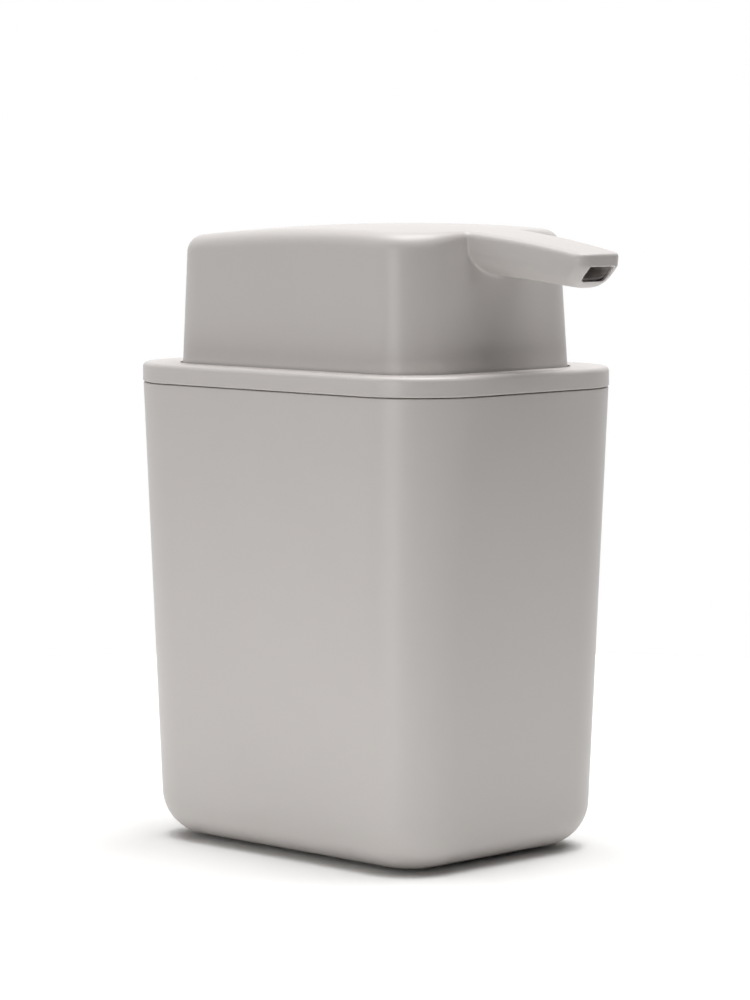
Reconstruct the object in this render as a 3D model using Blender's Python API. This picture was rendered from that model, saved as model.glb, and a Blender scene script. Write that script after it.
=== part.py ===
"""Dish soap dispenser: a square container, a lid, and a press head that runs on into a spout.

Lengths are metres and +Z is up. The origin is on the table under the middle of the body.
The spout points along -Y. Heights are measured from the table, with the head at rest.
"""

import math

import bmesh
import bpy
from mathutils import Matrix, Vector

# General fits
SEAT_GAP = 0.0003  # between a piece and what it rests on
SLIDE_GAP = 0.0003  # round a piece that slides or plugs into another

# Smoothness
CORNER_STEPS = 6  # facets in each vertical corner
EDGE_STEPS = 4  # facets over a rounded edge
HEAD_SIDE_POINTS = 4  # extra points along each side of the head, for its crown
ROUND_STEPS = 24  # facets round a turned piece
SMOOTH_ANGLE = math.radians(30)  # edges that turn more than this stay sharp

# Container: outline at the rim, and carried on straight down to the underside
BODY_HEIGHT = 0.09385  # from its underside to its rim
BODY_RIM_WIDTH = 0.0648
BODY_RIM_DEPTH = 0.0884
BODY_RIM_CORNER = 0.0163
BODY_FOOT_WIDTH = 0.0588
BODY_FOOT_DEPTH = 0.0789
BODY_FOOT_CORNER = 0.0126
BODY_FOOT_EDGE = 0.0090  # radius from the wall into the underside
BODY_RIM_EDGE = 0.0004
BODY_WALL = 0.0022
BODY_FLOOR = 0.0022

# Base pad, in a recess of the underside
PAD_THICKNESS = 0.0020
PAD_PROUD = 0.0005  # below the container's underside
PAD_MARGIN = 0.0008  # flat rim of the container round the recess
PAD_EDGE = 0.0004

# Lid: collar, land for the seal, well for the head, neck for the pump
SEAM_GAP = 0.0003
COLLAR_HEIGHT = 0.00385
COLLAR_OVERHANG = 0.0001
COLLAR_TOP_EDGE = 0.0010
COLLAR_FOOT_EDGE = 0.0004
WELL_GAP = 0.0004  # between the head's skirt and the well
WELL_WALL = 0.0018
WELL_LEAD = 0.0003
WELL_SPARE = 0.0030  # left under the skirt when the head is down
LID_FLOOR = 0.0020
LAND_GAP = 0.0005
LAND_LIP = 0.0012
LAND_LEAD = 0.0006
NECK_WALL = 0.0047
NECK_HEIGHT = 0.0065

# Lid seal
SEAL_DROP = 0.0035  # from the collar's underside to the seal
SEAL_HEIGHT = 0.0026
SEAL_THICKNESS = 0.0013
SEAL_WAIST = 0.0004  # depth of the hollow between its two lips

# Head: outline at the collar's top and at one level higher up, then the crowned top
STROKE = 0.0120
SKIRT_LAP = 0.0030  # of the head's skirt below the collar's top
SIDE_LEDGE = 0.00665  # from the container's rim in to the head, left and right
END_LEDGE = 0.00835  # the same, front and back
HEAD_FOOT_CORNER = 0.0106
HEAD_SHOULDER_RISE = 0.0220  # from the collar's top to the upper outline
HEAD_SIDE_DRAFT = 0.0010  # how far the upper outline lies in, left and right
HEAD_END_DRAFT = 0.0015  # the same, front and back
HEAD_SHOULDER_CORNER = 0.0096
HEAD_LEAN = 0.0004  # how far the upper outline lies back
HEAD_RISE = 0.0287  # from the collar's top to the crest
HEAD_CREST = 0.0118  # the highest point lies this far in front of the axis
HEAD_SIDE_FALL = 0.0009  # from the crest to the top's side edges
HEAD_BACK_FALL = 0.0025  # from the crest to the top's back edge
HEAD_EDGE = 0.0030
HEAD_WALL = 0.0022

# Spout: its top carries the crown on to the tip
SPOUT_LENGTH = 0.02845  # from the head's front to the tip
SPOUT_ROOT_WIDTH = 0.0215
SPOUT_TIP_WIDTH = 0.0116
SPOUT_TIP_DROP = 0.0051  # from the crest to the tip's top
SPOUT_ROOT_BELLY = 0.00965  # from the crest to the underside of the root
SPOUT_TIP_BELLY = 0.0118  # from the crest to the underside of the tip
SPOUT_ROOT_FLANK = 0.0050  # from the crest to where the root's flank turns into its belly
SPOUT_EDGE = 0.0012
SPOUT_TIP_CORNER = 0.0026
SPOUT_WALL = 0.0008
SPOUT_BORE_CORNER = 0.0012
SPOUT_BROW = 0.0022  # height of the end face's upper band
SPOUT_BROW_LEAN = math.radians(6)
SPOUT_UNDERCUT = math.radians(45)  # lean of the end face under its brow
SPOUT_UPRIGHT = 0.01105  # length from the head over which the sections stand upright
SPOUT_LAP = 0.00004  # stands over the crown, so that the two surfaces cross cleanly
ROOT_FULLNESS_SHARE = 1.6  # exponent of the belly's curve, 2 being an ellipse
TIP_FULLNESS_SHARE = 3.2
SPOUT_STEPS = 6
TOP_POINTS = 3  # on each side of the middle
BELLY_POINTS = 6

# Outlet in the spout's end face
OUTLET_SIDE_FRAME = 0.0024  # left of the end face at each side
OUTLET_FOOT_FRAME = 0.00135
OUTLET_CORNER = 0.0009

# Ribs and boss under the head's roof
RIB_THICKNESS = 0.0014
RIB_DROP = 0.0063  # from the crest to the ribs' lower edge
RIB_OFFSET = 0.0135  # of the two long ribs from the middle
RIB_STEPS = 6
BOSS_WALL = 0.0018
BOSS_DROP = 0.0127  # from the crest to the boss's lower edge

# Duct: socket on the stem, and a nozzle to the outlet
SOCKET_WALL = 0.0019
SOCKET_SPARE = 0.0023  # left between the socket and the stem guide when the head is down
DUCT_WALL = 0.0006
DUCT_ROOF_GAP = 0.0015  # under the roof, at the crest
DUCT_RISE = 0.0024  # from the middle of the passage over the stem to the duct's top
RISER_HEIGHT = 0.0046  # from the stem to the middle of the passage
DUCT_BACK = 0.0020  # the passage ends this far behind the axis
DUCT_FULLNESS_SHARE = 2.6
DUCT_POINTS = 9  # on each side

# Pump: nut, gasket, barrel and stem guide
BARREL_RADIUS = 0.0070
BARREL_WALL = 0.0015
FLANGE_MARGIN = 0.0007  # between the flange's edge and the neck's
FLANGE_THICKNESS = 0.0015
GASKET_THICKNESS = 0.0012
NUT_WALL = 0.0022
NUT_TOP = 0.0016
NUT_RIB_DEPTH = 0.0004
NUT_RIBS = 16
NUT_RIB_POINTS = 4  # two on a rib and two in the groove after it
NUT_FOOT_GAP = 0.0012
GUIDE_LAP = 0.0016  # of the guide's cap over the barrel's rim
GUIDE_TOP = 0.0016
GUIDE_LENGTH = 0.0081

# Stem, rod and piston
STEM_RADIUS = 0.0038
STEM_BORE = 0.0020
STEM_FOOT_WALL = 0.0009  # round the rod
SHOULDER_LAP = 0.0016
SHOULDER_THICKNESS = 0.0015
ROD_WALL = 0.0013
ROD_PLUG = 0.0080  # length of the rod inside the stem
ROD_FLANGE_LAP = 0.00025  # of the flange past the spring
ROD_FLANGE_THICKNESS = 0.0015
ROD_PILOT_PLAY = 0.00075  # between the pilot and the spring
ROD_PILOT_LENGTH = 0.0025
ROD_PORT_RADIUS = 0.0007
ROD_PORT_RISE = 0.0022  # of the port over the rod's flange
PORT_STEPS = 10
PISTON_HEIGHT = 0.0070
PISTON_SHIFT = 0.0010
PISTON_WALL = 0.0017
PISTON_LIP = 0.0008

# Return spring
SPRING_PRESSED = 0.0075  # its length when the head is down
SPRING_PLAY = 0.00155  # between the spring and the barrel
SPRING_WIRE = 0.0009
SPRING_TURNS = 7
SPRING_TURN_POINTS = 10
SPRING_CLOSING_SHARE = 0.5  # how much finer the end turns are wound

# Inlet valve and dip tube
BALL_RADIUS = 0.0025
BALL_LIFT = 0.0012
BALL_REST_GAP = 0.0004
BALL_STEPS = 16
CAGE_PLAY = 0.0006
CAGE_WALL = 0.0019
CAGE_BEAD = 0.00025  # the bead that keeps the ball in is this much smaller than the ball
CAGE_BEAD_HEIGHT = 0.0008
SEAT_LAP = 0.0007
SEAT_CONE = 0.0009
SEAT_WEB = 0.0020
TUBE_RADIUS = 0.0030
TUBE_WALL = 0.0009
TUBE_SOCKET_DEPTH = 0.0090
TUBE_SOCKET_WALL = 0.0016
TUBE_FLOOR_GAP = 0.0020
TUBE_SLANT = math.radians(30)
TUBE_STEPS = 16

# Run-out of a cutter past what it cuts, and the distance that joins points at a turned axis
OVERRUN = 0.0030
MERGE_DISTANCE = 0.000001

# Head and spout sizes that follow
HEAD_FOOT_WIDTH = BODY_RIM_WIDTH - 2 * SIDE_LEDGE
HEAD_FOOT_DEPTH = BODY_RIM_DEPTH - 2 * END_LEDGE
HEAD_SHOULDER_WIDTH = HEAD_FOOT_WIDTH - 2 * HEAD_SIDE_DRAFT
HEAD_SHOULDER_DEPTH = HEAD_FOOT_DEPTH - 2 * HEAD_END_DRAFT
SPOUT_ROOT = HEAD_SHOULDER_DEPTH / 2 - HEAD_LEAN
SPOUT_REACH = SPOUT_ROOT + SPOUT_LENGTH
OUTLET_WIDTH = SPOUT_TIP_WIDTH - 2 * OUTLET_SIDE_FRAME

# Pump radii that follow
NECK_BORE = BARREL_RADIUS + BARREL_WALL + SLIDE_GAP
NECK_RADIUS = NECK_BORE + NECK_WALL
FLANGE_RADIUS = NECK_RADIUS - FLANGE_MARGIN
GUIDE_RADIUS = BARREL_RADIUS + GUIDE_LAP
SOCKET_RADIUS = STEM_RADIUS + SLIDE_GAP + SOCKET_WALL
SHOULDER_RADIUS = STEM_RADIUS + SHOULDER_LAP
ROD_RADIUS = STEM_RADIUS - STEM_FOOT_WALL - SLIDE_GAP
ROD_BORE = ROD_RADIUS - ROD_WALL
PISTON_WAIST = ROD_RADIUS + SLIDE_GAP + PISTON_WALL
SPRING_RADIUS = BARREL_RADIUS - SPRING_PLAY - SPRING_WIRE / 2
ROD_FLANGE_RADIUS = SPRING_RADIUS + SPRING_WIRE / 2 + ROD_FLANGE_LAP
ROD_PILOT_RADIUS = SPRING_RADIUS - SPRING_WIRE / 2 - ROD_PILOT_PLAY
CAGE_RADIUS = BALL_RADIUS + CAGE_PLAY
SEAT_RADIUS = BALL_RADIUS - SEAT_LAP

# Heights that follow: container, lid and pump body
RIM_TOP = PAD_PROUD + BODY_HEIGHT
COLLAR_FOOT = RIM_TOP + SEAM_GAP
COLLAR_TOP = COLLAR_FOOT + COLLAR_HEIGHT
SKIRT_FOOT = COLLAR_TOP - SKIRT_LAP
WELL_FLOOR = SKIRT_FOOT - STROKE - WELL_SPARE
LID_FOOT = WELL_FLOOR - LID_FLOOR
NECK_TOP = WELL_FLOOR + NECK_HEIGHT
SEAL_TOP = COLLAR_FOOT - SEAL_DROP
SEAL_FOOT = SEAL_TOP - SEAL_HEIGHT
LAND_FOOT = SEAL_FOOT - SEAT_GAP - LAND_LIP
PAD_SEAT = PAD_THICKNESS + SEAT_GAP
INNER_FLOOR = PAD_SEAT + BODY_FLOOR
GASKET_FOOT = NECK_TOP + SEAT_GAP
FLANGE_FOOT = GASKET_FOOT + GASKET_THICKNESS + SEAT_GAP
FLANGE_TOP = FLANGE_FOOT + FLANGE_THICKNESS
CAP_FOOT = FLANGE_TOP + SEAT_GAP
GUIDE_FOOT = CAP_FOOT - GUIDE_LENGTH

# Heights that follow: head, spout and duct
HEAD_TOP = COLLAR_TOP + HEAD_RISE
SPOUT_TIP_TOP = HEAD_TOP - SPOUT_TIP_DROP
SPOUT_TIP_BOTTOM = HEAD_TOP - SPOUT_TIP_BELLY
RIB_FOOT = HEAD_TOP - RIB_DROP
BOSS_FOOT = HEAD_TOP - BOSS_DROP
DUCT_TOP = HEAD_TOP - HEAD_WALL - DUCT_ROOF_GAP
DUCT_MIDDLE = DUCT_TOP - DUCT_RISE
SOCKET_FOOT = CAP_FOOT + GUIDE_TOP + STROKE + SOCKET_SPARE
STEM_STOP = DUCT_MIDDLE - RISER_HEIGHT

# Heights that follow: stem, rod, piston and spring
SHOULDER_TOP = GUIDE_FOOT - SEAT_GAP
STEM_FOOT = SHOULDER_TOP - SHOULDER_THICKNESS
STEM_TOP = STEM_STOP - SEAT_GAP
ROD_TOP = STEM_FOOT + ROD_PLUG - SEAT_GAP
PISTON_TOP = STEM_FOOT - SEAT_GAP - PISTON_SHIFT
PISTON_FOOT = PISTON_TOP - PISTON_HEIGHT
ROD_FLANGE_TOP = PISTON_FOOT - SEAT_GAP
ROD_FLANGE_FOOT = ROD_FLANGE_TOP - ROD_FLANGE_THICKNESS
SPRING_TOP = ROD_FLANGE_FOOT - SEAT_GAP
SPRING_LENGTH = STROKE + SPRING_PRESSED
SPRING_FOOT = SPRING_TOP - SPRING_LENGTH

# Heights that follow: inlet valve and dip tube
BARREL_FLOOR = SPRING_FOOT - SEAT_GAP
BEAD_FOOT = BARREL_FLOOR - CAGE_BEAD_HEIGHT
BALL_MIDDLE = BEAD_FOOT - SEAT_GAP - BALL_LIFT - BALL_RADIUS
BALL_SEAT = BALL_MIDDLE - BALL_REST_GAP - math.sqrt(BALL_RADIUS**2 - SEAT_RADIUS**2)
TUBE_STOP = BALL_SEAT - SEAT_WEB
TUBE_TOP = TUBE_STOP - SEAT_GAP
TUBE_SOCKET_FOOT = TUBE_STOP - TUBE_SOCKET_DEPTH
TUBE_FOOT = INNER_FLOOR + TUBE_FLOOR_GAP


def mix(start, end, share):
    """The value that lies this share of the way from start to end."""
    return start + (end - start) * share


# Materials


def linear(hex_colour):
    """Linear red, green and blue of an sRGB colour such as C6C2BE."""
    values = [int(hex_colour[i : i + 2], 16) / 255 for i in (0, 2, 4)]
    return [v / 12.92 if v <= 0.04045 else ((v + 0.055) / 1.055) ** 2.4 for v in values]


def make_material(name, hex_colour, roughness, metallic=0.0):
    """One material with a Principled shader."""
    material = bpy.data.materials.new(name)
    material.use_nodes = True
    shader = material.node_tree.nodes["Principled BSDF"]
    shader.inputs["Base Color"].default_value = (*linear(hex_colour), 1.0)
    shader.inputs["Roughness"].default_value = roughness
    shader.inputs["Metallic"].default_value = metallic
    return material


# Rings: closed rows of points, anticlockwise from above


def rounded_ring(outline, height, side_points=0):
    """A rounded rectangle. Outline is width, depth and corner radius."""
    width, depth, corner = outline
    ring = []
    for quarter in range(4):
        turn = quarter * math.pi / 2
        side_x = 1 if quarter in (0, 3) else -1
        side_y = 1 if quarter in (0, 1) else -1
        middle = Vector((side_x * (width / 2 - corner), side_y * (depth / 2 - corner)))
        for step in range(CORNER_STEPS + 1):
            angle = turn + step / CORNER_STEPS * math.pi / 2
            ring.append(middle + corner * Vector((math.cos(angle), math.sin(angle))))
    if side_points:
        ring = with_side_points(ring, side_points)
    return [Vector((point.x, point.y, height)) for point in ring]


def with_side_points(ring, count):
    """Adds evenly spaced points on the four straight sides between the corners."""
    filled = []
    for index, point in enumerate(ring):
        filled.append(point)
        if (index + 1) % (CORNER_STEPS + 1) == 0:
            following = ring[(index + 1) % len(ring)]
            filled += [point.lerp(following, k / (count + 1)) for k in range(1, count + 1)]
    return filled


def inset(outline, distance):
    """The outline, moved in by a distance on every side. Its corners end up sharp at the least."""
    width, depth, corner = outline
    least = MERGE_DISTANCE
    return (width - 2 * distance, depth - 2 * distance, max(corner - distance, least))


def round_ring(radius, height, count=4 * (CORNER_STEPS + 1)):
    """A circle, with as many points as a rounded ring unless a count is given."""
    angles = [(k + 1 / 2) / count * math.tau for k in range(count)]
    return [Vector((radius * math.cos(a), radius * math.sin(a), height)) for a in angles]


# Mesh builders


def mesh_of(bm, name):
    """Finishes a bmesh as a mesh with its faces out, round parts smooth and edges sharp."""
    bmesh.ops.recalc_face_normals(bm, faces=bm.faces[:])
    mesh = bpy.data.meshes.new(name)
    bm.to_mesh(mesh)
    bm.free()
    mesh.shade_smooth()
    mesh.set_sharp_from_angle(angle=SMOOTH_ANGLE)
    return mesh


def add_end(bm, loop, mirrored):
    """Closes a loop with one face, or with flat level strips where its halves are mirrored."""
    if not mirrored:
        bm.faces.new(loop)
        return
    right = loop[: len(loop) // 2]
    left = loop[: len(loop) // 2 - 1 : -1]
    for upper_right, lower_right, upper_left, lower_left in zip(right, right[1:], left, left[1:]):
        bm.faces.new((upper_right, lower_right, lower_left, upper_left))


def loft(name, rings, closed=False, mirrored=False):
    """A solid through rings of equally many points, with end caps, or closed on itself."""
    bm = bmesh.new()
    loops = [[bm.verts.new(point) for point in ring] for ring in rings]
    pairs = list(zip(loops, loops[1:]))
    if closed:
        pairs.append((loops[-1], loops[0]))
    else:
        add_end(bm, loops[0], mirrored)
        add_end(bm, loops[-1], mirrored)
    for first, second in pairs:
        for index, point in enumerate(first):
            after = (index + 1) % len(first)
            bm.faces.new((point, first[after], second[after], second[index]))
    return mesh_of(bm, name)


def turned(name, outline, steps=ROUND_STEPS):
    """A closed outline of (radius, height) points, spun once round the Z axis."""
    bm = bmesh.new()
    corners = [bm.verts.new((radius, 0, height)) for radius, height in outline]
    for index, corner in enumerate(corners):
        bm.edges.new((corner, corners[(index + 1) % len(corners)]))
    bmesh.ops.spin(
        bm,
        geom=bm.verts[:] + bm.edges[:],
        axis=(0, 0, 1),
        cent=(0, 0, 0),
        angle=math.tau,
        steps=steps,
        use_merge=True,
    )
    bmesh.ops.remove_doubles(bm, verts=bm.verts[:], dist=MERGE_DISTANCE)
    axis_edges = [edge for edge in bm.edges if not edge.link_faces]
    bmesh.ops.delete(bm, geom=axis_edges, context="EDGES")
    return mesh_of(bm, name)


def height_of(item):
    """Height of an object's origin over the table."""
    height = 0.0
    while item:
        height += item.location.z
        item = item.parent
    return height


def add_empty(name, height, parent=None):
    """An empty on the dispenser's axis, which carries the pieces that move together."""
    empty = bpy.data.objects.new(name, None)
    bpy.context.scene.collection.objects.link(empty)
    empty.parent = parent
    empty.location.z = height - height_of(parent)
    return empty


def add_piece(mesh, origin, parent, material):
    """Makes a piece of a mesh built in heights over the table, with its origin at one of them."""
    piece = bpy.data.objects.new(mesh.name, mesh)
    bpy.context.scene.collection.objects.link(piece)
    piece.parent = parent
    piece.location.z = origin - height_of(parent)
    mesh.transform(Matrix.Translation((0, 0, -origin)))
    mesh.materials.append(material)
    return piece


def combine(piece, mesh, operation):
    """Joins a mesh to a piece, or cuts it from the piece, with a Boolean modifier."""
    tool = bpy.data.objects.new(mesh.name, mesh)
    bpy.context.scene.collection.objects.link(tool)
    tool.parent = piece
    mesh.transform(Matrix.Translation((0, 0, -height_of(piece))))
    tool.hide_render = True
    tool.display_type = "WIRE"
    modifier = piece.modifiers.new(mesh.name, "BOOLEAN")
    modifier.operation = operation
    modifier.solver = "EXACT"
    modifier.object = tool


# Container and pad


def body_outline(height, distance):
    """The container's outline at a height, moved in by a distance."""
    share = (height - PAD_PROUD) / BODY_HEIGHT
    outline = (
        mix(BODY_FOOT_WIDTH, BODY_RIM_WIDTH, share),
        mix(BODY_FOOT_DEPTH, BODY_RIM_DEPTH, share),
        mix(BODY_FOOT_CORNER, BODY_RIM_CORNER, share),
    )
    return inset(outline, distance)


def pad_outline():
    """The base pad lies inside the rounded edge of the container's foot."""
    return body_outline(PAD_PROUD, BODY_FOOT_EDGE + PAD_MARGIN + SLIDE_GAP)


def arc(radius, steps=EDGE_STEPS):
    """Points of a quarter round as (distance in from the wall, rise), from the flat to the wall."""
    angles = [k / steps * math.pi / 2 for k in range(steps + 1)]
    return [(radius * (1 - math.sin(a)), radius * (1 - math.cos(a))) for a in angles]


def container_mesh():
    """One open shell: recess, underside, round foot, wall, rim, inner wall and floor."""
    recess = inset(pad_outline(), -SLIDE_GAP)
    rings = [rounded_ring(recess, PAD_SEAT), rounded_ring(recess, PAD_PROUD)]
    foot_steps = 2 * EDGE_STEPS
    for distance, rise in arc(BODY_FOOT_EDGE, foot_steps):
        height = PAD_PROUD + rise
        rings.append(rounded_ring(body_outline(height, distance), height))
    for distance, drop in reversed(arc(BODY_RIM_EDGE)):
        height = RIM_TOP - drop
        rings.append(rounded_ring(body_outline(height, distance), height))
    for distance, drop in arc(BODY_RIM_EDGE):
        height = RIM_TOP - drop
        inner = BODY_WALL - distance
        rings.append(rounded_ring(body_outline(height, inner), height))
    for distance, rise in reversed(arc(BODY_FOOT_EDGE - BODY_WALL, foot_steps)):
        height = INNER_FLOOR + rise
        rings.append(rounded_ring(body_outline(height, BODY_WALL + distance), height))
    return loft("container", rings)


def base_pad_mesh():
    """A soft plate with rounded lower edges."""
    outline = pad_outline()
    rings = [rounded_ring(inset(outline, distance), rise) for distance, rise in arc(PAD_EDGE)]
    rings.append(rounded_ring(outline, PAD_THICKNESS))
    return loft("base_pad", rings)


# Lid


def head_outline(height, distance):
    """The head's outline at a height, moved in by a distance."""
    share = (height - COLLAR_TOP) / HEAD_SHOULDER_RISE
    outline = (
        mix(HEAD_FOOT_WIDTH, HEAD_SHOULDER_WIDTH, share),
        mix(HEAD_FOOT_DEPTH, HEAD_SHOULDER_DEPTH, share),
        mix(HEAD_FOOT_CORNER, HEAD_SHOULDER_CORNER, share),
    )
    return inset(outline, distance)


def seal_outline(distance):
    """The seal's outer outline, moved in by a distance."""
    return body_outline(SEAL_FOOT, BODY_WALL + SLIDE_GAP + distance)


def lid_collar_mesh():
    """Neck, well, collar and seal land, as one loft that closes on itself."""
    well = head_outline(SKIRT_FOOT, -WELL_GAP)
    collar = body_outline(RIM_TOP, -COLLAR_OVERHANG)
    land = body_outline(SEAL_FOOT, BODY_WALL + LAND_GAP)
    groove = seal_outline(SEAL_THICKNESS + SLIDE_GAP)
    rings = [
        round_ring(NECK_BORE, LID_FOOT),
        round_ring(NECK_BORE, NECK_TOP),
        round_ring(NECK_RADIUS, NECK_TOP),
        round_ring(NECK_RADIUS, WELL_FLOOR),
        rounded_ring(well, WELL_FLOOR),
        rounded_ring(well, COLLAR_TOP - WELL_LEAD),
        rounded_ring(inset(well, -WELL_LEAD), COLLAR_TOP),
    ]
    for distance, drop in arc(COLLAR_TOP_EDGE):
        rings.append(rounded_ring(inset(collar, distance), COLLAR_TOP - drop))
    for distance, rise in reversed(arc(COLLAR_FOOT_EDGE)):
        rings.append(rounded_ring(inset(collar, distance), COLLAR_FOOT + rise))
    rings += [
        rounded_ring(land, COLLAR_FOOT),
        rounded_ring(land, SEAL_TOP + SEAT_GAP),
        rounded_ring(groove, SEAL_TOP + SEAT_GAP),
        rounded_ring(groove, SEAL_FOOT - SEAT_GAP),
        rounded_ring(land, SEAL_FOOT - SEAT_GAP),
        rounded_ring(land, LAND_FOOT + LAND_LEAD),
        rounded_ring(inset(land, LAND_LEAD), LAND_FOOT),
        rounded_ring(inset(well, -WELL_WALL), LAND_FOOT),
        rounded_ring(inset(well, -WELL_WALL), LID_FOOT),
    ]
    return loft("lid_collar", rings, closed=True)


def lid_seal_mesh():
    """A ring with two lips against the container's wall."""
    inner = seal_outline(SEAL_THICKNESS)
    waist = seal_outline(SEAL_WAIST)
    lip = SEAL_HEIGHT / 4
    rings = [
        rounded_ring(inner, SEAL_FOOT),
        rounded_ring(inner, SEAL_TOP),
        rounded_ring(waist, SEAL_TOP),
        rounded_ring(seal_outline(0), SEAL_TOP - lip),
        rounded_ring(waist, mix(SEAL_FOOT, SEAL_TOP, 1 / 2)),
        rounded_ring(seal_outline(0), SEAL_FOOT + lip),
        rounded_ring(waist, SEAL_FOOT),
    ]
    return loft("lid_seal", rings, closed=True)


# Head and spout


def crown(x, y):
    """Height of the crowned top, which falls to the sides, the back and the spout's tip."""
    half_width = HEAD_SHOULDER_WIDTH / 2
    half_depth = HEAD_SHOULDER_DEPTH / 2
    fall = HEAD_SIDE_FALL * (x / half_width) ** 2
    if y > -HEAD_CREST:
        fall += HEAD_BACK_FALL * ((y + HEAD_CREST) / (half_depth + HEAD_CREST)) ** 2
    else:
        run = (y + HEAD_CREST) / (SPOUT_REACH - HEAD_CREST)
        fall += SPOUT_TIP_DROP * run**2
    return HEAD_TOP - fall


def head_block(name, foot, distance):
    """The head's solid form, moved in by a distance, from a foot level up to the crown."""
    edge = max(HEAD_EDGE - distance, HEAD_EDGE / 4)
    shoulder = head_outline(COLLAR_TOP + HEAD_SHOULDER_RISE, distance)
    rings = [rounded_ring(head_outline(foot, distance), foot, HEAD_SIDE_POINTS)]
    for inward, drop in reversed(arc(edge)):
        ring = rounded_ring(inset(shoulder, inward), -distance - drop, HEAD_SIDE_POINTS)
        back = [Vector((p.x, p.y + HEAD_LEAN, p.z)) for p in ring]
        rings.append([Vector((p.x, p.y, p.z + crown(p.x, p.y))) for p in back])
    flat = rings[-1]
    top_shares = (0.86, 0.68, 0.5, 0.32, 0.14)
    for share in top_shares:
        points = [(share * p.x, share * p.y) for p in flat]
        rings.append([Vector((x, y, crown(x, y) - distance)) for x, y in points])
    return loft(name, rings)


def end_setback(height):
    """How far the end face lies behind the tip's top: little in its brow, more below it."""
    drop = SPOUT_TIP_TOP - height
    brow = math.tan(SPOUT_BROW_LEAN) * min(drop, SPOUT_BROW)
    return brow + math.tan(SPOUT_UNDERCUT) * max(0, drop - SPOUT_BROW)


def slanted(right, reach, end):
    """A section of the spout from its right half, given from the top down as (x, height).

    It stands upright until it nears the end.
    """
    section = right + [(-x, height) for x, height in reversed(right)]
    upright = SPOUT_ROOT + SPOUT_UPRIGHT
    share = max(0, reach - upright) / (end - upright)
    return [Vector((x, share * end_setback(z) - reach, z)) for x, z in section]


def end_rounding(reach, end, corner):
    """How far the flank is drawn in near the end, where its corner is round in plan."""
    past = max(0, reach - (end - corner))
    return corner - math.sqrt(max(0, corner**2 - past**2))


def reaches_to(end, corner, start):
    """Reaches of the sections: even along the spout, then closer round its end corners."""
    along = [mix(start, end - corner, k / SPOUT_STEPS) for k in range(SPOUT_STEPS + 1)]
    turns = [math.sin(k / EDGE_STEPS * math.pi / 2) for k in range(1, EDGE_STEPS + 1)]
    return along + [end - corner * (1 - turn) for turn in turns]


def oval_point(half_width, half_height, fullness, angle):
    """A point of a full oval as (x, height over its middle), at an angle from its right side."""
    power = 2 / fullness
    x = half_width * math.cos(angle) ** power
    return x, math.copysign(half_height * abs(math.sin(angle)) ** power, angle)


def spout_ring(reach, distance, end, corner):
    """One section of the spout at a reach from the axis, moved in by a distance."""
    share = (reach - SPOUT_ROOT) / SPOUT_LENGTH
    half = mix(SPOUT_ROOT_WIDTH, SPOUT_TIP_WIDTH, share) / 2 - distance
    half -= end_rounding(reach, end, corner)
    side = HEAD_TOP - mix(SPOUT_ROOT_FLANK, SPOUT_TIP_DROP + SPOUT_BROW, share)
    bottom = HEAD_TOP - mix(SPOUT_ROOT_BELLY, SPOUT_TIP_BELLY, share) + distance
    fullness = mix(ROOT_FULLNESS_SHARE, TIP_FULLNESS_SHARE, share)
    edge = max(SPOUT_EDGE - distance, SPOUT_EDGE / 4)
    whole_steps = TOP_POINTS + 1 / 2
    top = [((half - edge) * (k + 1 / 2) / whole_steps, 0) for k in range(TOP_POINTS)]
    top += [(half - inward, drop) for inward, drop in arc(edge)]
    right = [(x, crown(x, -reach) + SPOUT_LAP - distance - drop) for x, drop in top]
    turns = [-k / (BELLY_POINTS + 1 / 2) * math.pi / 2 for k in range(BELLY_POINTS + 1)]
    belly = [oval_point(half, side - bottom, fullness, turn) for turn in turns]
    right += [(x, side + height) for x, height in belly]
    return slanted(right, reach, end)


def spout_block(name, start, distance, corner):
    """The spout's solid form, moved in by a distance. It starts sunk inside the head."""
    end = SPOUT_REACH - distance
    rings = [spout_ring(start - OVERRUN, distance + SPOUT_EDGE, end, corner)]
    for reach in reaches_to(end, corner, start):
        rings.append(spout_ring(reach, distance, end, corner))
    return loft(name, rings, mirrored=True)


def outlet_mesh():
    """Cutter for the outlet, which is squarer above than below."""
    half = OUTLET_WIDTH / 2
    top = SPOUT_TIP_TOP - SPOUT_BROW
    foot = SPOUT_TIP_BOTTOM + OUTLET_FOOT_FRAME
    right = [(half, top)]
    right += [(half - inward, foot + rise) for inward, rise in reversed(arc(OUTLET_CORNER))]
    reaches = (SPOUT_REACH + OVERRUN, SPOUT_REACH - OVERRUN)
    rings = [slanted(right, reach, reach) for reach in reaches]
    return loft("outlet_cut", rings, mirrored=True)


def rib_mesh(name, start, end):
    """An upright rib under the roof, between two points of the plan."""
    start = Vector(start)
    end = Vector(end)
    across = (end - start).normalized().orthogonal() * RIB_THICKNESS / 2
    rings = []
    for k in range(RIB_STEPS + 1):
        middle = start.lerp(end, k / RIB_STEPS)
        left = middle + across
        right = middle - across
        roof = crown(middle.x, middle.y) - HEAD_WALL / 2
        corners = [(left, RIB_FOOT), (right, RIB_FOOT), (right, roof), (left, roof)]
        rings.append([Vector((point.x, point.y, height)) for point, height in corners])
    return loft(name, rings)


def boss_mesh():
    """A round boss under the roof, which holds the duct."""
    radius = SOCKET_RADIUS + SLIDE_GAP + BOSS_WALL
    roof = HEAD_TOP - HEAD_WALL / 2
    return loft("duct_boss", [round_ring(radius, BOSS_FOOT), round_ring(radius, roof)])


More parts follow.
